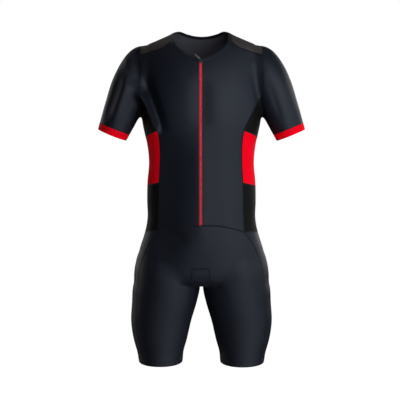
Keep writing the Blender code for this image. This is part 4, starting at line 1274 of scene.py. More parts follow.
@dataclass(frozen=True)
class Finish:
    """A surface: two shades with mottling between them, a relief whose low parts and holes get painted shade,
    and how it shines.
    """

    name: str
    colour: Colour
    shade: Colour
    roughness: tuple[float, float]
    effect: Effect | None = None
    sizes: tuple[tuple[str, float], ...] = ()
    relief: float = 0.0
    relief_painted_shade: float = 0.0
    metallic: float = 0.0
    specular: float = 0.5
    coat: float = 0.0
    mottle_scale: float = 9.0
    slot: str = ""

    def material(self, shelf: EffectShelf) -> bpy.types.Material:
        """Builds the finish's material.

        Args:
            shelf: The shared effects.

        Returns:
            The material.
        """
        material = bpy.data.materials.new(self.name)
        material.use_nodes = True
        graph = Graph(material.node_tree)
        shader = material.node_tree.nodes["Principled BSDF"]
        places = graph.add("ShaderNodeTexCoord").outputs
        mottle = graph.add("ShaderNodeGroup", node_tree=shelf.get(Effect.MOTTLE))
        graph.feed(mottle.inputs["Place"], places["Object"])
        graph.feed(mottle.inputs["Scale"], self.mottle_scale)
        tone = mottle.outputs["Tone"]
        colour = graph.mix(tone, (*self.colour, 1.0), (*self.shade, 1.0))
        if self.effect is not None:
            group = graph.add("ShaderNodeGroup", node_tree=shelf.get(self.effect))
            graph.feed(group.inputs["Place"], places["UV"])
            for name, value in self.sizes:
                graph.feed(group.inputs[name], value)
            # Painted shade: the relief's low parts, and a mesh's holes, are darkened towards a darker copy of
            # the shade colour.
            painted_shade_colour = tuple(part * (1 - self.relief_painted_shade) for part in self.shade)
            painted_shade_share = group.outputs["Tone"]
            if self.effect is not Effect.MESH:
                painted_shade_share = graph.math("SUBTRACT", 1.0, painted_shade_share)
            colour = graph.mix(graph.math("MULTIPLY", painted_shade_share, self.relief_painted_shade), colour, (*painted_shade_colour, 1.0))
            inputs = {"Height": group.outputs["Height"], "Distance": self.relief, "Strength": 1.0}
            graph.feed(shader.inputs["Normal"], graph.add("ShaderNodeBump", inputs).outputs["Normal"])
        graph.feed(shader.inputs["Base Color"], colour)
        graph.feed(shader.inputs["Roughness"], graph.ramp(tone, 0.0, 1.0, *self.roughness))
        for name, value in (
            ("Metallic", self.metallic),
            ("Specular IOR Level", self.specular),
            ("Coat Weight", self.coat),
        ):
            shader.inputs[name].default_value = value
        material.diffuse_color = (*self.colour, 1.0)
        return material


KNIT_SIZES = (("Wale", 0.0009), ("Course", 0.0011))
BLACK_KNIT = Finish(
    "black_knit",
    colour=(0.0070, 0.0082, 0.0128),
    shade=(0.0084, 0.0097, 0.0151),
    roughness=(0.46, 0.54),
    effect=Effect.KNIT,
    sizes=KNIT_SIZES,
    relief=0.00004,
    relief_painted_shade=0.25,
    specular=0.22,
)
SHORTS_KNIT = replace(
    BLACK_KNIT,
    name="shorts_knit",
    colour=(0.0070, 0.0081, 0.0124),
    shade=(0.0084, 0.0096, 0.0147),
)
KNIT_LINING = Finish(
    "knit_lining",
    colour=(0.082, 0.076, 0.084),
    shade=(0.098, 0.091, 0.100),
    roughness=(0.75, 0.85),
    effect=Effect.KNIT,
    sizes=(("Wale", 0.0016), ("Course", 0.0020)),
    relief=0.00010,
    relief_painted_shade=0.45,
    specular=0.25,
)
# One black mesh in two copies: the yoke's is lighter, as painted light on the shoulders, and the side panels'
# is darker, as painted shade under the arms.
YOKE_MESH_PAINTED_LIGHT = Finish(
    "yoke_mesh_painted_light",
    colour=(0.0400, 0.0310, 0.0285),
    shade=(0.0530, 0.0410, 0.0370),
    roughness=(0.62, 0.74),
    effect=Effect.MESH,
    sizes=(("Pitch", 0.0026), ("Hole", 0.35)),
    relief=0.00012,
    relief_painted_shade=0.85,
    specular=0.2,
    slot="black_mesh",
)
SIDE_MESH_PAINTED_SHADE = replace(
    YOKE_MESH_PAINTED_LIGHT,
    name="side_mesh_painted_shade",
    colour=(0.0030, 0.0025, 0.0022),
    shade=(0.0045, 0.0037, 0.0033),
    roughness=(0.60, 0.70),
    specular=0.10,
)
RED_KNIT = Finish(
    "red_knit",
    colour=(0.95, 0.0, 0.011),
    shade=(0.86, 0.0, 0.009),
    roughness=(0.70, 0.80),
    effect=Effect.KNIT,
    sizes=KNIT_SIZES,
    relief=0.00004,
    relief_painted_shade=0.2,
    specular=0.03,
)
# The tape is a darker red than the teeth: partly the woven tape's own colour, partly painted shade beside the
# chain.
ZIP_TAPE_PAINTED_SHADE = Finish(
    "zip_tape",
    colour=(0.62, 0.012, 0.022),
    shade=(0.48, 0.008, 0.016),
    roughness=(0.55, 0.65),
    effect=Effect.TWILL,
    sizes=(("Pitch", 0.0009), ("Slant", 0.0)),
    relief=0.00008,
    relief_painted_shade=0.4,
)
ZIP_TEETH = Finish(
    "zip_teeth",
    colour=(0.98, 0.050, 0.080),
    shade=(0.86, 0.040, 0.065),
    roughness=(0.24, 0.32),
    mottle_scale=60.0,
)
SLIDER_ENAMEL = Finish(
    "slider_enamel",
    colour=(0.012, 0.012, 0.014),
    shade=(0.020, 0.020, 0.023),
    roughness=(0.22, 0.34),
    metallic=0.4,
    coat=0.4,
    mottle_scale=120.0,
)
PULL_RUBBER = Finish(
    "pull_rubber",
    colour=(0.014, 0.014, 0.015),
    shade=(0.020, 0.020, 0.021),
    roughness=(0.42, 0.52),
    mottle_scale=120.0,
)
PULL_STRIPE = replace(
    PULL_RUBBER,
    name="pull_stripe",
    colour=(0.150, 0.153, 0.148),
    shade=(0.125, 0.128, 0.124),
    roughness=(0.50, 0.60),
)
SEAM_THREAD = Finish(
    "seam_thread",
    colour=(0.0050, 0.0054, 0.0070),
    shade=(0.0075, 0.0080, 0.0105),
    roughness=(0.55, 0.65),
    specular=0.15,
    effect=Effect.TWILL,
    sizes=(("Pitch", 0.0013), ("Slant", 0.55)),
    relief=0.00022,
    relief_painted_shade=0.5,
)
STITCH_THREAD = Finish(
    "stitch_thread",
    colour=(0.0100, 0.0105, 0.0130),
    shade=(0.0160, 0.0165, 0.0200),
    roughness=(0.42, 0.52),
    mottle_scale=300.0,
)
RED_THREAD = Finish(
    "red_thread",
    colour=(0.58, 0.006, 0.016),
    shade=(0.48, 0.004, 0.012),
    roughness=(0.45, 0.55),
    mottle_scale=300.0,
)


# ---------------------------------- pieces
def to_object(name: str, body: bmesh.types.BMesh, material: bpy.types.Material) -> bpy.types.Object:
    """Turns a bmesh into a smooth-shaded object of the scene.

    Args:
        name: The object's name.
        body: The mesh, which is used up.
        material: Its material.

    Returns:
        The object.
    """
    log.info("making %s", name)
    mesh = bpy.data.meshes.new(name)
    body.to_mesh(mesh)
    body.free()
    mesh.shade_smooth()
    mesh.materials.append(material)
    thing = bpy.data.objects.new(name, mesh)
    bpy.context.scene.collection.objects.link(thing)
    return thing


def grid_mesh(points: Array, across: Array, along: Array, out: Array) -> tuple[bmesh.types.BMesh, Places]:
    """Lays a grid mesh on points, with lengths of the cloth as its UV map and its faces outwards.

    Args:
        points: The points, in rows and columns.
        across: U at each point.
        along: V at each point.
        out: The outward direction at each point.

    Returns:
        The mesh, and the row and column of each of its vertices.
    """
    rows, cols = points.shape[:2]
    body = bmesh.new()
    uv = body.loops.layers.uv.new("UVMap")
    bmesh.ops.create_grid(body, x_segments=cols - 1, y_segments=rows - 1, size=0.5)
    place = {}
    for v in body.verts:
        place[v] = (round((0.5 - v.co.y) * (rows - 1)), round((v.co.x + 0.5) * (cols - 1)))
        v.co = points[place[v]]
    for face in body.faces:
        for loop in face.loops:
            loop[uv].uv = (across[place[loop.vert]], along[place[loop.vert]])
    body.normal_update()
    face = next(iter(body.faces))
    if face.normal.dot(Vector(out[place[face.verts[0]]])) < 0:
        bmesh.ops.reverse_faces(body, faces=body.faces)
    return body, place


@dataclass
class Workshop:
    """What every maker needs: the form, the cut, the drape, the effects and the finishes made so far."""

    form: SuitForm
    cut: Cut
    drape: Drape
    shelf: EffectShelf = field(default_factory=EffectShelf)
    materials: dict[str, bpy.types.Material] = field(default_factory=dict)

    def material(self, finish: Finish) -> bpy.types.Material:
        """The material of a finish, built once.

        Args:
            finish: The finish.

        Returns:
            Its material.
        """
        if finish.name not in self.materials:
            self.materials[finish.name] = finish.material(self.shelf)
        return self.materials[finish.name]

    def lifted(self, points: Array, height: Array | float) -> Array:
        """Points of the form moved with the cloth, and out by a height of their own."""
        out = self.form.outward(points)
        return points + out * np.asarray(height, float)[..., None] + self.drape.moves(points, out)


@dataclass(frozen=True)
class PanelPlan:
    """How one kind of panel is made from its grid."""

    name: str
    finish: Finish
    hangs_from: tuple[str, ...]
    paired: bool = True
    wall: float = 0.0015
    lift: float = 0.0
    edges: str = "top bottom left right"
    ring: bool = False
    soft_edge: float = 0.0
    cut_size: tuple[float, float] | None = None
    lining: Finish | None = None


@dataclass
class ClothPanel:
    """One cut piece of cloth: a grid of the form with a wall that goes inwards from it."""

    name: str
    grid: Array
    plan: PanelPlan
    hangs_from: tuple[str, ...] = ()
    seam_gap: float = 0.0003
    least_width: float = 0.01
    edge_steps: int = 3
    edge_angle: float = math.radians(60)

    def outer(self, shop: Workshop, out: Array) -> Array:
        """The outer face: folds added, and the sewn edges drawn in by half a seam gap.

        Args:
            shop: The workshop.
            out: The outward direction at each point of the grid.

        Returns:
            The face's points.
        """
        grid = self.grid + shop.drape.moves(self.grid, out)
        moved = grid.copy()
        for edge in self.plan.edges.split():
            k, inner = {"top": (0, 1), "bottom": (-1, -2), "left": (0, 1), "right": (-1, -2)}[edge]
            across = edge in ("left", "right")
            lines, ways, target = (a.swapaxes(0, 1) if across else a for a in (grid, out, moved))
            inwards = unit(np.cross(ways[k], np.gradient(lines[k], axis=0)))
            side = np.sign(np.sum(inwards * (lines[inner] - lines[k])))
            target[k] += side * inwards * self.seam_gap / 2
        return moved + out * self.plan.lift

    def shape(self, outer: Array, across: Array, down: Array, out: Array) -> bmesh.types.BMesh:
        """The outer face as a mesh, closed into a ring where the plan says so.

        Args:
            outer: The points.
            across: How far each point is from the first column.
            down: How far each point is from the first row.
            out: The outward direction at each point.

        Returns:
            The mesh.
        """
        body, place = grid_mesh(outer, across, down, out)
        if self.plan.ring:
            cols = outer.shape[1]
            first = {i: v for v, (i, j) in place.items() if j == 0}
            last = {v: first[i] for v, (i, j) in place.items() if j == cols - 1}
            bmesh.ops.weld_verts(body, targetmap=last)
        for edge in body.edges:
            edge.smooth = bool(self.plan.soft_edge) or not edge.is_boundary
        return body

    def thicken(self, thing: bpy.types.Object, shop: Workshop) -> None:
        """Gives the face its wall, its lining and its soft edge.

        Args:
            thing: The panel.
            shop: The workshop.
        """
        wall = thing.modifiers.new("wall", "SOLIDIFY")
        wall.thickness, wall.offset = self.plan.wall, -1.0
        if self.plan.lining is not None:
            thing.data.materials.append(shop.material(self.plan.lining))
            wall.material_offset = 1
        if self.plan.soft_edge:
            bevel = thing.modifiers.new("soft edge", "BEVEL")
            bevel.width, bevel.segments = self.plan.soft_edge, self.edge_steps
            bevel.limit_method, bevel.angle_limit = "ANGLE", self.edge_angle

    def make(self, shop: Workshop) -> bpy.types.Object:
        """Builds the panel and states its cut.

        Args:
            shop: The workshop.

        Returns:
            The panel.
        """
        finish, out = self.plan.finish, shop.form.outward(self.grid)
        outer = self.outer(shop, out)
        across, down = run_length(outer, 1), run_length(outer, 0)
        body = self.shape(outer, across, down, out)
        flat_area = sum(face.calc_area() for face in body.faces)
        thing = to_object(f"cloth_{self.name}", body, shop.material(finish))
        self.thicken(thing, shop)
        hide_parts(self.name)
        finish.slot or finish.name
        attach(thing, "garment")
        size = self.plan.cut_size or (across[:, -1].max(), down[-1].max())
        width, length = (max(side, self.least_width) for side in size)
        log.info("%s: cut %.0f x %.0f mm, %.4f m2", self.name, width * 1000, length * 1000, flat_area)
        hangs_from = tuple(f"cloth_{name}" for name in self.hangs_from)
        return thing


@dataclass
class FlatSeam:
    """A flat-locked seam: a ribbon of slanted threads that lies over the join of two pieces."""

    name: str
    line: Array
    width: float = 0.0038
    proud: float = 0.00030
    rounds: int = 4
    profile: Columns = size_table(
        "across high",
        (-0.50, -0.6),
        (-0.42, 0.7),
        (-0.22, 1.0),
        (0.00, 0.65),
        (0.22, 1.0),
        (0.42, 0.7),
        (0.50, -0.6),
    )

    def make(self, shop: Workshop) -> bpy.types.Object:
        """Builds the ribbon.

        Args:
            shop: The workshop.

        Returns:
            The seam.
        """
        sideways = unit(np.cross(shop.form.outward(self.line), np.gradient(self.line, axis=0)))
        offsets = self.profile["across"] * self.width
        grid = self.line[:, None] + sideways[:, None] * offsets[None, :, None]
        grid = shop.form.settle(grid, self.rounds)
        grid[:, len(offsets) // 2] = self.line
        lifted = shop.lifted(grid, self.profile["high"] * self.proud)
        across, along = np.broadcast_arrays(offsets[None, :], run_length(self.line)[:, None])
        body, _ = grid_mesh(lifted, across, along, shop.form.outward(grid))
        thing = to_object(self.name, body, shop.material(SEAM_THREAD))
        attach(thing, "garment")
        return thing


@dataclass
class StitchRow:
    """A row of single stitches along a line on the cloth."""

    name: str
    line: Array
    finish: Finish = STITCH_THREAD
    high: float = 0.0001
    length: float = 0.0026
    gap: float = 0.0009
    radius: float = 0.00028
    sides: int = 6
    rings: int = 4

    def make(self, shop: Workshop) -> bpy.types.Object:
        """Builds the stitches.

        Args:
            shop: The workshop.

        Returns:
            The row.
        """
        along = run_length(self.line)
        count = max(int(along[-1] / (self.length + self.gap)), 1)
        at = (np.arange(count) + 0.5) * along[-1] / count
        lifted = shop.lifted(self.line, self.high)
        ends = []
        for side in (-1, 1):
            end = np.clip(at + side * self.length / 2, 0, along[-1])
            ends.append(np.stack([np.interp(end, along, lifted[:, k]) for k in range(3)], axis=1))
        body = bmesh.new()
        for a, b in zip(*ends):
            run = Vector(b - a)
            turn = run.to_track_quat("Z", "Y").to_matrix().to_4x4()
            size = Matrix.Diagonal((self.radius, self.radius, run.length / 2, 1.0))
            place = Matrix.Translation((a + b) / 2) @ turn @ size
            bmesh.ops.create_uvsphere(
                body, u_segments=self.sides, v_segments=self.rings, radius=1.0, matrix=place
            )
        thing = to_object(self.name, body, shop.material(self.finish))
        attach(thing, "garment")
        return thing


# ---------------------------------- zip
# How the hard pieces' corners and edges are rounded. An edge that turns by more than ROUND_FROM is rounded
# off, and one that turns by more than SHARP_FROM looks sharp.
CORNER_POINTS = 6
PLATE_STEPS = 3
ROUND_FROM = math.radians(57)
SHARP_FROM = math.radians(40)


@dataclass
class ZipChain:
    """The closed chain: moulded teeth from both tapes, one after the other down the front."""

    pitch: float = 0.0020
    half_width: float = 0.0030
    proud: float = 0.0006
    thick: float = 0.0023
    reach: float = 0.0040
    tooth: float = 0.0017
    bevel: float = 0.0005
    bevel_steps: int = 2
    sharp: float = math.radians(50)

    def make(self, shop: Workshop) -> bpy.types.Object:
        """Builds the teeth, with the two tapes' teeth in turn.

        Args:
            shop: The workshop.

        Returns:
            The teeth.
        """
        form, cut = shop.form, shop.cut
        heights = np.arange(cut.chain_top - self.pitch / 2, cut.chain_end, -self.pitch)
        middle = form.on_face(0, heights, -1)
        out = form.outward(middle)
        middle = shop.lifted(middle, 0.0)
        body = bmesh.new()
        for k, (spot, way) in enumerate(zip(middle, out)):
            side = 1 if k % 2 else -1
            centre = Vector(spot) + Vector(way) * (self.proud - self.thick / 2)
            centre.x += side * (self.half_width - self.reach / 2)
            size = Matrix.Diagonal((self.reach, self.tooth, self.thick, 1.0))
            place = Matrix.Translation(centre) @ axes_at(Vector(way)) @ size
            made = bmesh.ops.create_cube(body, size=1.0, matrix=place)
            edges = {edge for v in made["verts"] for edge in v.link_edges}
            round_edges(body, list(edges), self.bevel, self.bevel_steps)
        thing = to_object("zip_chain_teeth", body, shop.material(ZIP_TEETH))
        thing.data.set_sharp_from_angle(angle=self.sharp)
        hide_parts("zip_chain")
        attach(thing, "garment")
        return thing


def axes_at(out: Vector) -> Matrix:
    """A turn whose X is to the wearer's left, whose Y is up the cloth and whose Z is out of it.

    Args:
        out: The cloth's outward direction.

    Returns:
        The turn.
    """
    side = Vector((1.0, 0.0, 0.0))
    up = out.cross(side).normalized()
    return Matrix((side, up, out)).transposed().to_4x4()


def rounded(left: float, right: float, low: float, high: float, *corners: float) -> Outline:
    """A rectangle's outline with rounded corners.

    Args:
        left: Its left side.
        right: Its right side.
        low: Its lower side.
        high: Its upper side.
        corners: The radius of all corners, or of each from the lower left one round by the right.

    Returns:
        The outline.
    """
    places = ((left, low, 1, 1), (right, low, -1, 1), (right, high, -1, -1), (left, high, 1, -1))
    radii = corners if len(corners) == len(places) else corners * len(places)
    line = []
    for k, ((x, y, to_x, to_y), radius) in enumerate(zip(places, radii)):
        start = math.pi * (1 + k / 2)
        for angle in np.linspace(start, start + math.pi / 2, CORNER_POINTS):
            line.append((x + radius * (to_x + math.cos(angle)), y + radius * (to_y + math.sin(angle))))
    return line


def round_edges(body: bmesh.types.BMesh, edges: list[bmesh.types.BMEdge], width: float, steps: int) -> None:
    """Rounds some of a mesh's edges off, by a width and in a number of steps."""
    bmesh.ops.bevel(body, geom=edges, offset=width, segments=steps, profile=0.5, affect="EDGES", material=-1)


def plate(
    outline: Outline, low: float, high: float, bevel: float, hole: Outline | None = None
) -> bmesh.types.BMesh:
    """A flat part with rounded edges.

    Args:
        outline: Its outline.
        low: Its lower face.
        high: Its upper face.
        bevel: How far its edges are rounded off.
        hole: The outline of its hole, where it has one.

    Returns:
        The part.
    """
    body = bmesh.new()
    rings = []
    for line in filter(None, (outline, hole)):
        verts = [body.verts.new((u, v, low)) for u, v in line]
        rings.append([body.edges.new(pair) for pair in zip(verts, verts[1:] + verts[:1])])
    if hole is None:
        bmesh.ops.contextual_create(body, geom=rings[0])
    else:
        bmesh.ops.bridge_loops(body, edges=rings[0] + rings[1])
    made = bmesh.ops.extrude_face_region(body, geom=list(body.faces))
    verts = [part for part in made["geom"] if isinstance(part, bmesh.types.BMVert)]
    bmesh.ops.translate(body, verts=verts, vec=(0, 0, high - low))
    bmesh.ops.recalc_face_normals(body, faces=body.faces)
    sharp = [edge for edge in body.edges if edge.calc_face_angle(0.0) > ROUND_FROM]
    round_edges(body, sharp, bevel, PLATE_STEPS)
    return body


def join_into(whole: bmesh.types.BMesh, part: bmesh.types.BMesh, place: Matrix) -> None:
    """Adds one mesh to another.

    Args:
        whole: The mesh that is added to.
        part: The mesh that is added, which is used up.
        place: Where it is put.
    """
    bmesh.ops.transform(part, matrix=place, verts=part.verts)
    mesh = bpy.data.meshes.new("part")
    part.to_mesh(mesh)
    part.free()
    whole.from_mesh(mesh)
    bpy.data.meshes.remove(mesh)


@dataclass
class ZipSlider:
    """The slider: two plates joined by a post at the upper end, and the bail that holds the pull tab."""

    height: float = -0.0600
    long: float = 0.0110
    top_wide: float = 0.0086
    end_wide: float = 0.0064
    corner: float = 0.0018
    front_plate: tuple[float, float] = (0.0009, 0.0031)
    back_plate: tuple[float, float] = (-0.0050, -0.0038)
    post: tuple[float, float] = (0.0028, 0.0042)
    bevel: float = 0.0004
    post_corner: float = 0.0006
    post_bevel: float = 0.0001
    bail_up: float = 0.0008
    bail_bar: float = 0.0012
    bail_reach: float = 0.0021
    bail_high: float = 0.0024
    bail_foot: float = 0.0015
    tab_turn: float = math.radians(42.7)
    bail_sides: int = 14
    bail_steps: int = 20

    def place(self, form: SuitForm) -> Matrix:
        """The slider's place: X to the wearer's left, Y up the cloth, Z out of it."""
        middle = form.on_face(0, self.height, -1)
        return Matrix.Translation(middle) @ axes_at(Vector(form.outward(middle)))

    def hinge(self, form: SuitForm, high: float) -> Matrix:
        """A place on the bail's middle line: X along the tab's hinge, Y along the tab, Z out of the cloth.

        Args:
            form: The form.
            high: How far out of the cloth it is.

        Returns:
            The place.
        """
        turn = Matrix.Rotation(math.pi / 2 - self.tab_turn, 4, "Z")
        return self.place(form) @ Matrix.Translation((0, self.bail_up, high)) @ turn

    def bail(self) -> bmesh.types.BMesh:
        """Bends a round bar over the tab's end, with both feet in the front plate.

        Returns:
            The bar.
        """
        body = bmesh.new()
        radius = self.bail_bar / 2
        arch = self.front_plate[1] + self.bail_high + radius - self.bail_reach
        turned = Matrix.Translation((0, self.bail_reach, 0))
        bmesh.ops.create_circle(body, segments=self.bail_sides, radius=radius, matrix=turned)
        bmesh.ops.spin(
            body,
            geom=[*body.verts, *body.edges],
            cent=(0, 0, 0),
            axis=(1, 0, 0),
            angle=math.pi,
            steps=self.bail_steps,
            use_merge=False,
        )
        low = [edge for edge in body.edges if edge.is_boundary]
        made = bmesh.ops.extrude_edge_only(body, edges=low)
        verts = [part for part in made["geom"] if isinstance(part, bmesh.types.BMVert)]
        bmesh.ops.translate(body, verts=verts, vec=(0, 0, -self.bail_foot))
        bmesh.ops.holes_fill(body, edges=[edge for edge in body.edges if edge.is_boundary])
        bmesh.ops.recalc_face_normals(body, faces=body.faces)
        bmesh.ops.translate(body, verts=body.verts, vec=(0, 0, arch))
        return body

    def make(self, shop: Workshop) -> bpy.types.Object:
        """Builds the slider.

        Args:
            shop: The workshop.

        Returns:
            The slider.
        """
        half, top, end = self.long / 2, self.top_wide / 2, self.end_wide / 2
        outline = (
            (-end, -half),
            (end, -half),
            (top, 0.0),
            (top, half - self.corner),
            (top - self.corner, half),
            (self.corner - top, half),
            (-top, half - self.corner),
            (-top, 0.0),
        )
        wide, long = self.post
        post = rounded(-wide / 2, wide / 2, half - long, half - self.bevel, self.post_corner)
        place = self.place(shop.form)
        whole = bmesh.new()
        join_into(whole, plate(outline, *self.front_plate, self.bevel), place)
        join_into(whole, plate(outline, *self.back_plate, self.bevel), place)
        between = (self.back_plate[1] - self.bevel, self.front_plate[0] + self.bevel)
        join_into(whole, plate(post, *between, self.post_bevel), place)
        join_into(whole, self.bail(), self.hinge(shop.form, 0.0))
        thing = to_object("slider", whole, shop.material(SLIDER_ENAMEL))
        thing.data.set_sharp_from_angle(angle=SHARP_FROM)
        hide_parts("zip_slider")
        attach(thing, "garment")
        return thing


@dataclass
class PullTab:
    """The moulded pull tab: a hole for the bail, grip ribs and a pale stripe beside one long edge."""

    long: float = 0.0250
    wide: float = 0.0075
    thick: float = 0.0014
    bar: float = 0.0013
    hole: tuple[float, float] = (0.0032, 0.0042)
    end_corner: float = 0.0030
    bar_corner: float = 0.0012
    hole_corner: float = 0.0009
    bevel: float = 0.0003
    ribs: int = 5
    rib_gap: float = 0.0020
    rib_wide: float = 0.0046
    rib_thick: float = 0.0008
    rib_high: float = 0.0002
    rib_start: float = 0.0115
    rib_corner: float = 0.00036
    stripe: tuple[float, float] = (-0.0004, 0.0031)
    stripe_ends: tuple[float, float] = (0.0052, 0.0222)
    stripe_high: float = 0.00012
    stripe_corner: float = 0.0008

    def make(self, shop: Workshop, slider: ZipSlider) -> bpy.types.Object:
        """Builds the tab in the slider's bail.

        Args:
            shop: The workshop.
            slider: The slider that carries it.

        Returns:
            The tab.
        """
        side, bar, half = self.wide / 2, self.bar / 2, self.thick / 2
        corners = (self.bar_corner, self.bar_corner, self.end_corner, self.end_corner)
        outline = rounded(-side, side, -bar, self.long - bar, *corners)
        hole_long, hole_wide = self.hole
        hole = rounded(-hole_wide / 2, hole_wide / 2, bar, bar + hole_long, self.hole_corner)
        place = slider.hinge(shop.form, slider.front_plate[1] + slider.bail_high / 2)
        whole, stripe = bmesh.new(), bmesh.new()
        join_into(whole, plate(outline, -half, half, self.bevel, hole), place)
        face, wide, thick = half + self.rib_high, self.rib_wide / 2, self.rib_thick / 2
        for k in range(self.ribs):
            along = self.rib_start + k * self.rib_gap
            rib = rounded(-wide, wide, along - thick, along + thick, self.rib_corner)
            join_into(whole, plate(rib, -face, face, self.rib_high / 2), place)
        outline = rounded(*self.stripe, *self.stripe_ends, self.stripe_corner)
        face = half + self.stripe_high
        join_into(stripe, plate(outline, -face, face, self.stripe_high / 2), place)
        pale = to_object("pull_tab_stripe", stripe, shop.material(PULL_STRIPE))
        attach(pale, "pull_tab")
        thing = to_object("pull_tab_rubber", whole, shop.material(PULL_RUBBER))
        thing.data.set_sharp_from_angle(angle=SHARP_FROM)
        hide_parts("pull_tab")
        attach(thing, "pull_tab")
        return thing


# ---------------------------------- suit
BAND = {"wall": 0.0021, "lift": 0.0003, "soft_edge": 0.0007}
PLANS = (
    PanelPlan("yoke", YOKE_MESH_PAINTED_LIGHT, (), lining=KNIT_LINING),
    PanelPlan("front", BLACK_KNIT, ("yoke",), lining=KNIT_LINING),
    PanelPlan("back", BLACK_KNIT, ("yoke_left", "yoke_right"), paired=False, lining=KNIT_LINING),
    PanelPlan("neck_band", BLACK_KNIT, ("yoke_left", "yoke_right"), paired=False, edges="bottom", **BAND),
    PanelPlan("sleeve", BLACK_KNIT, ("yoke",), lining=KNIT_LINING),
    PanelPlan("sleeve_under", SIDE_MESH_PAINTED_SHADE, ("sleeve",), cut_size=(0.210, 0.055)),
    PanelPlan("cuff", RED_KNIT, ("sleeve",), edges="top", ring=True, **BAND),
    PanelPlan("side_upper", SIDE_MESH_PAINTED_SHADE, ("front",)),
    PanelPlan("side_red", RED_KNIT, ("side_upper",)),
    PanelPlan("side_lower", SIDE_MESH_PAINTED_SHADE, ("side_red",)),
    PanelPlan("short_front", SHORTS_KNIT, ("front",), edges="top bottom right", lining=KNIT_LINING),
    PanelPlan("short_side", SHORTS_KNIT, ("side_lower",), lining=KNIT_LINING),
    PanelPlan("short_back", SHORTS_KNIT, ("back",), lining=KNIT_LINING),
    PanelPlan(
        "gusset", SHORTS_KNIT, ("short_front_left", "short_front_right"), paired=False, lining=KNIT_LINING
    ),
    PanelPlan("leg_band", SHORTS_KNIT, ("short_side",), edges="top", ring=True, **BAND),
    PanelPlan("zip_tape", ZIP_TAPE_PAINTED_SHADE, ("front",), wall=0.0010, lift=-0.0022, edges=""),
)
SIDES = {"left": 1.0, "right": -1.0}


@dataclass
class TriathlonSuit:
    """The whole garment, and where its rows of stitches lie."""

    shop: Workshop
    band_rows: tuple[float, float] = (0.14, 0.42)
    neck_row: float = 0.72
    band_high: float = 0.0004
    zip_rows: tuple[float, float] = (0.0062, 0.0125)
    zip_high: float = 0.0001

    def build(self) -> None:
        """Builds the panels, the seams, the stitching and the zip, in sewing order."""
        for plan in PLANS:
            self.build_panels(plan)
        for name, line in self.paired_seams().items():
            for side, sign in SIDES.items():
                FlatSeam(f"seam_{name}_{side}", line * (sign, 1.0, 1.0)).make(self.shop)
        for name, line in self.middle_seams().items():
            FlatSeam(f"seam_{name}", line).make(self.shop)
        for name, (line, high, finish) in self.stitch_rows().items():
            for side, sign in SIDES.items():
                StitchRow(f"stitches_{name}_{side}", line * (sign, 1.0, 1.0), finish, high).make(self.shop)
        slider = ZipSlider()
        ZipChain().make(self.shop)
        slider.make(self.shop)
        PullTab().make(self.shop, slider)

    def build_panels(self, plan: PanelPlan) -> None:
        """Builds one kind of panel, on one side or both.

        Args:
            plan: How it is made.
        """
        grid = self.shop.cut.grids[plan.name]
        sides = SIDES if plan.paired else {"": 1.0}
        paired = {other.name for other in PLANS if other.paired}
        for side, sign in sides.items():
            ending = f"_{side}" if side else ""
            above = tuple(name + ending if name in paired else name for name in plan.hangs_from)
            ClothPanel(plan.name + ending, grid * (sign, 1.0, 1.0), plan, above).make(self.shop)

    def paired_seams(self) -> dict[str, Array]:
        """The flat seams that both sides have.

        Returns:
            Their lines on the wearer's left, by name.
        """
        cut, s = self.shop.cut, self.shop.cut.seams
        front, back = s["armhole_front"][::-1], s["armhole_back"][::-1]
        return {
            "yoke_front": s["yoke_front"],
            "yoke_back": s["yoke_back"],
            "armhole": joined(front, s["armhole_top"], back, s["armpit"][::-1]),
            "side_front": joined(*cut.sides("side_front")),
            "side_back": joined(*cut.sides("side_back")),
            "red_top": s["red_top"],
            "red_bottom": s["red_bottom"],
            "waist": joined(s["waist_front"], s["waist_side"], s["waist_back"][::-1]),
            "shorts_front": s["shorts_front"],
            "shorts_back": s["shorts_back"],
            "gusset": s["gusset_outer"],
            "inseam": s["inseam"],
            "under_sleeve_front": s["under_front"],
            "under_sleeve_back": s["under_back"],
        }

    def middle_seams(self) -> dict[str, Array]:
        """The flat seams that cross or follow the middle; none shows on the front of the shorts.

        Returns:
            Their lines, by name.
        """
        s = self.shop.cut.seams
        return {
            "centre_back": s["centre_back"],
            "gusset_front": joined(mirrored(s["gusset_edge_front"])[::-1], s["gusset_edge_front"]),
            "gusset_back": joined(mirrored(s["gusset_edge_back"])[::-1], s["gusset_edge_back"]),
        }

    def stitch_rows(self) -> dict[str, tuple[Array, float, Finish]]:
        """The rows of stitches that both sides have.

        Returns:
            Their line, how high they lie and their thread, by name.
        """
        cut, rows = self.shop.cut, {}
        for k, share in enumerate(self.band_rows):
            rows[f"hem_{k}"] = (self.across_band("leg_band", share), self.band_high, STITCH_THREAD)
            rows[f"cuff_{k}"] = (self.across_band("cuff", share), self.band_high, RED_THREAD)
        half = (cut.grids["neck_band"].shape[1] + 1) // 2
        rows["neck"] = (self.across_band("neck_band", self.neck_row)[:half], self.band_high, STITCH_THREAD)
        heights = cut.seams["zip_edge"][1:-1, 2]
        heights = heights[heights < cut.zip_top]
        for k, off in enumerate(self.zip_rows):
            rows[f"zip_{k}"] = (self.shop.form.on_face(off, heights, -1), self.zip_high, STITCH_THREAD)
        return rows

    def across_band(self, name: str, share: float) -> Array:
        """A line that follows a band.

        Args:
            name: The band.
            share: How far it is from the band's first row to its last.

        Returns:
            The line.
        """
        grid = self.shop.cut.grids[name]
        at = share * (len(grid) - 1)
        k = int(at)
        return grid[k] * (1 - at + k) + grid[k + 1] * (at - k)


# ---------------------------------- studio
WHITE = (1.0, 1.0, 1.0)
COOL = (0.82, 0.90, 1.0)


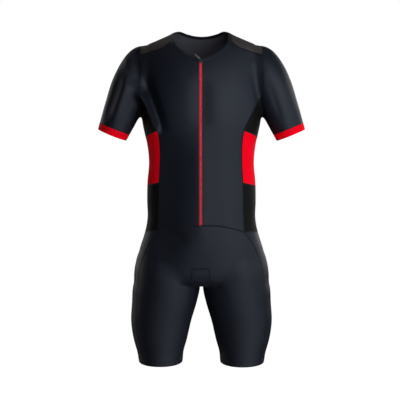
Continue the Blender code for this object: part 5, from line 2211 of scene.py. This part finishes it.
@dataclass(frozen=True)
class SoftLight:
    """A soft square light that faces the suit."""

    name: str
    place: tuple[float, float, float]
    size: float
    power: float
    colour: Colour

    def add(self, aim: Vector) -> None:
        """Adds the light.

        Args:
            aim: What it is turned to.
        """
        data = bpy.data.lights.new(self.name, "AREA")
        data.size, data.energy, data.color = self.size, self.power, self.colour
        light = bpy.data.objects.new(self.name, data)
        light.location, light.visible_camera = self.place, False
        light.rotation_euler = (aim - Vector(self.place)).to_track_quat("-Z", "Y").to_euler()
        bpy.context.scene.collection.objects.link(light)


@dataclass
class Studio:
    """A plain pale floor under a white surround, soft lights and the camera."""

    floor_height: float = -2.60
    floor_radius: float = 40.0
    floor_sides: int = 96
    floor_roughness: float = 0.9
    pale: Colour = (0.80, 0.80, 0.80)
    bounce: Colour = (0.20, 0.20, 0.20)
    camera_place: tuple[float, float, float] = (0.063, -3.2, -0.16)
    aim: tuple[float, float, float] = (-0.004, 0.0, -0.382)
    width_seen: float = 1.134
    shift: float = -0.06
    sensor: float = 36.0
    lights: tuple[SoftLight, ...] = (
        SoftLight("key", (0.74, -1.28, -0.16), 1.0, 7.2, COOL),
        SoftLight("high", (0.62, -1.15, 0.25), 1.0, 7.6, COOL),
        SoftLight("front", (0.0, -2.66, 0.05), 1.7, 6.5, COOL),
        SoftLight("side", (2.62, -0.46, 0.05), 1.7, 19.0, COOL),
        SoftLight("low", (0.80, -2.20, -1.77), 1.7, 18.0, COOL),
        SoftLight("low_side", (1.92, -1.34, -1.77), 1.7, 15.0, COOL),
        SoftLight("right_rim", (1.71, 2.04, 0.05), 1.7, 18.0, WHITE),
        SoftLight("rim", (-2.20, 1.50, 0.05), 1.7, 10.0, WHITE),
        SoftLight("low_rim", (-2.40, 1.10, -1.10), 1.7, 4.0, WHITE),
        SoftLight("back_rim", (-1.71, 2.04, 0.05), 1.7, 4.5, WHITE),
        SoftLight("top", (-0.50, 1.00, 2.10), 1.7, 13.0, WHITE),
    )
    aim_light: tuple[float, float, float] = (0.0, 0.0, -0.42)
    ambient: float = 0.01

    def floor(self) -> None:
        """The floor, which the camera sees as white as the surround and which throws little light up."""
        body = bmesh.new()
        place = Matrix.Translation((0, 0, self.floor_height))
        bmesh.ops.create_circle(
            body, cap_ends=True, segments=self.floor_sides, radius=self.floor_radius, matrix=place
        )
        material = bpy.data.materials.new("pale_floor")
        material.use_nodes = True
        graph = Graph(material.node_tree)
        shader = material.node_tree.nodes["Principled BSDF"]
        shader.inputs["Roughness"].default_value = self.floor_roughness
        shader.inputs["Emission Color"].default_value = (1.0, 1.0, 1.0, 1.0)
        seen = graph.add("ShaderNodeLightPath").outputs["Is Camera Ray"]
        graph.feed(shader.inputs["Base Color"], graph.mix(seen, (*self.bounce, 1.0), (*self.pale, 1.0)))
        graph.feed(shader.inputs["Emission Strength"], seen)
        to_object("floor", body, material)

    def world(self) -> None:
        """A surround that the camera sees as white, and that lights the suit only dimly."""
        world = bpy.data.worlds.new("studio")
        world.use_nodes = True
        graph = Graph(world.node_tree)
        background = world.node_tree.nodes["Background"]
        background.inputs["Color"].default_value = (1.0, 1.0, 1.0, 1.0)
        seen = graph.add("ShaderNodeLightPath").outputs["Is Camera Ray"]
        graph.feed(background.inputs["Strength"], graph.ramp(seen, 0.0, 1.0, self.ambient, 1.0))
        bpy.context.scene.world = world

    def camera(self) -> None:
        """The camera, level with the chest and a little to the wearer's left."""
        data = bpy.data.cameras.new("camera")
        way = Vector(self.aim) - Vector(self.camera_place)
        data.sensor_width = self.sensor
        data.lens = self.sensor * way.length / self.width_seen
        data.shift_y = self.shift
        camera = bpy.data.objects.new("camera", data)
        camera.location = self.camera_place
        camera.rotation_euler = way.to_track_quat("-Z", "Y").to_euler()
        bpy.context.scene.collection.objects.link(camera)
        bpy.context.scene.camera = camera

    def build(self) -> None:
        """Builds the studio."""
        self.floor()
        self.world()
        for light in self.lights:
            light.add(Vector(self.aim_light))
        self.camera()
        bpy.context.scene.view_settings.view_transform = "Standard"
        log.info("studio ready")


def main() -> None:
    """Builds the suit and its studio in order."""
    logging.basicConfig(level=logging.INFO, format="%(name)s: %(message)s")
    form = SuitForm()
    log.info("form ready")
    cut = Cut(form)
    log.info("cut ready: %d pieces, %d seams", len(cut.grids), len(cut.seams))
    TriathlonSuit(Workshop(form, cut, Drape())).build()
    Studio().build()


if __name__ == "__main__":
    main()
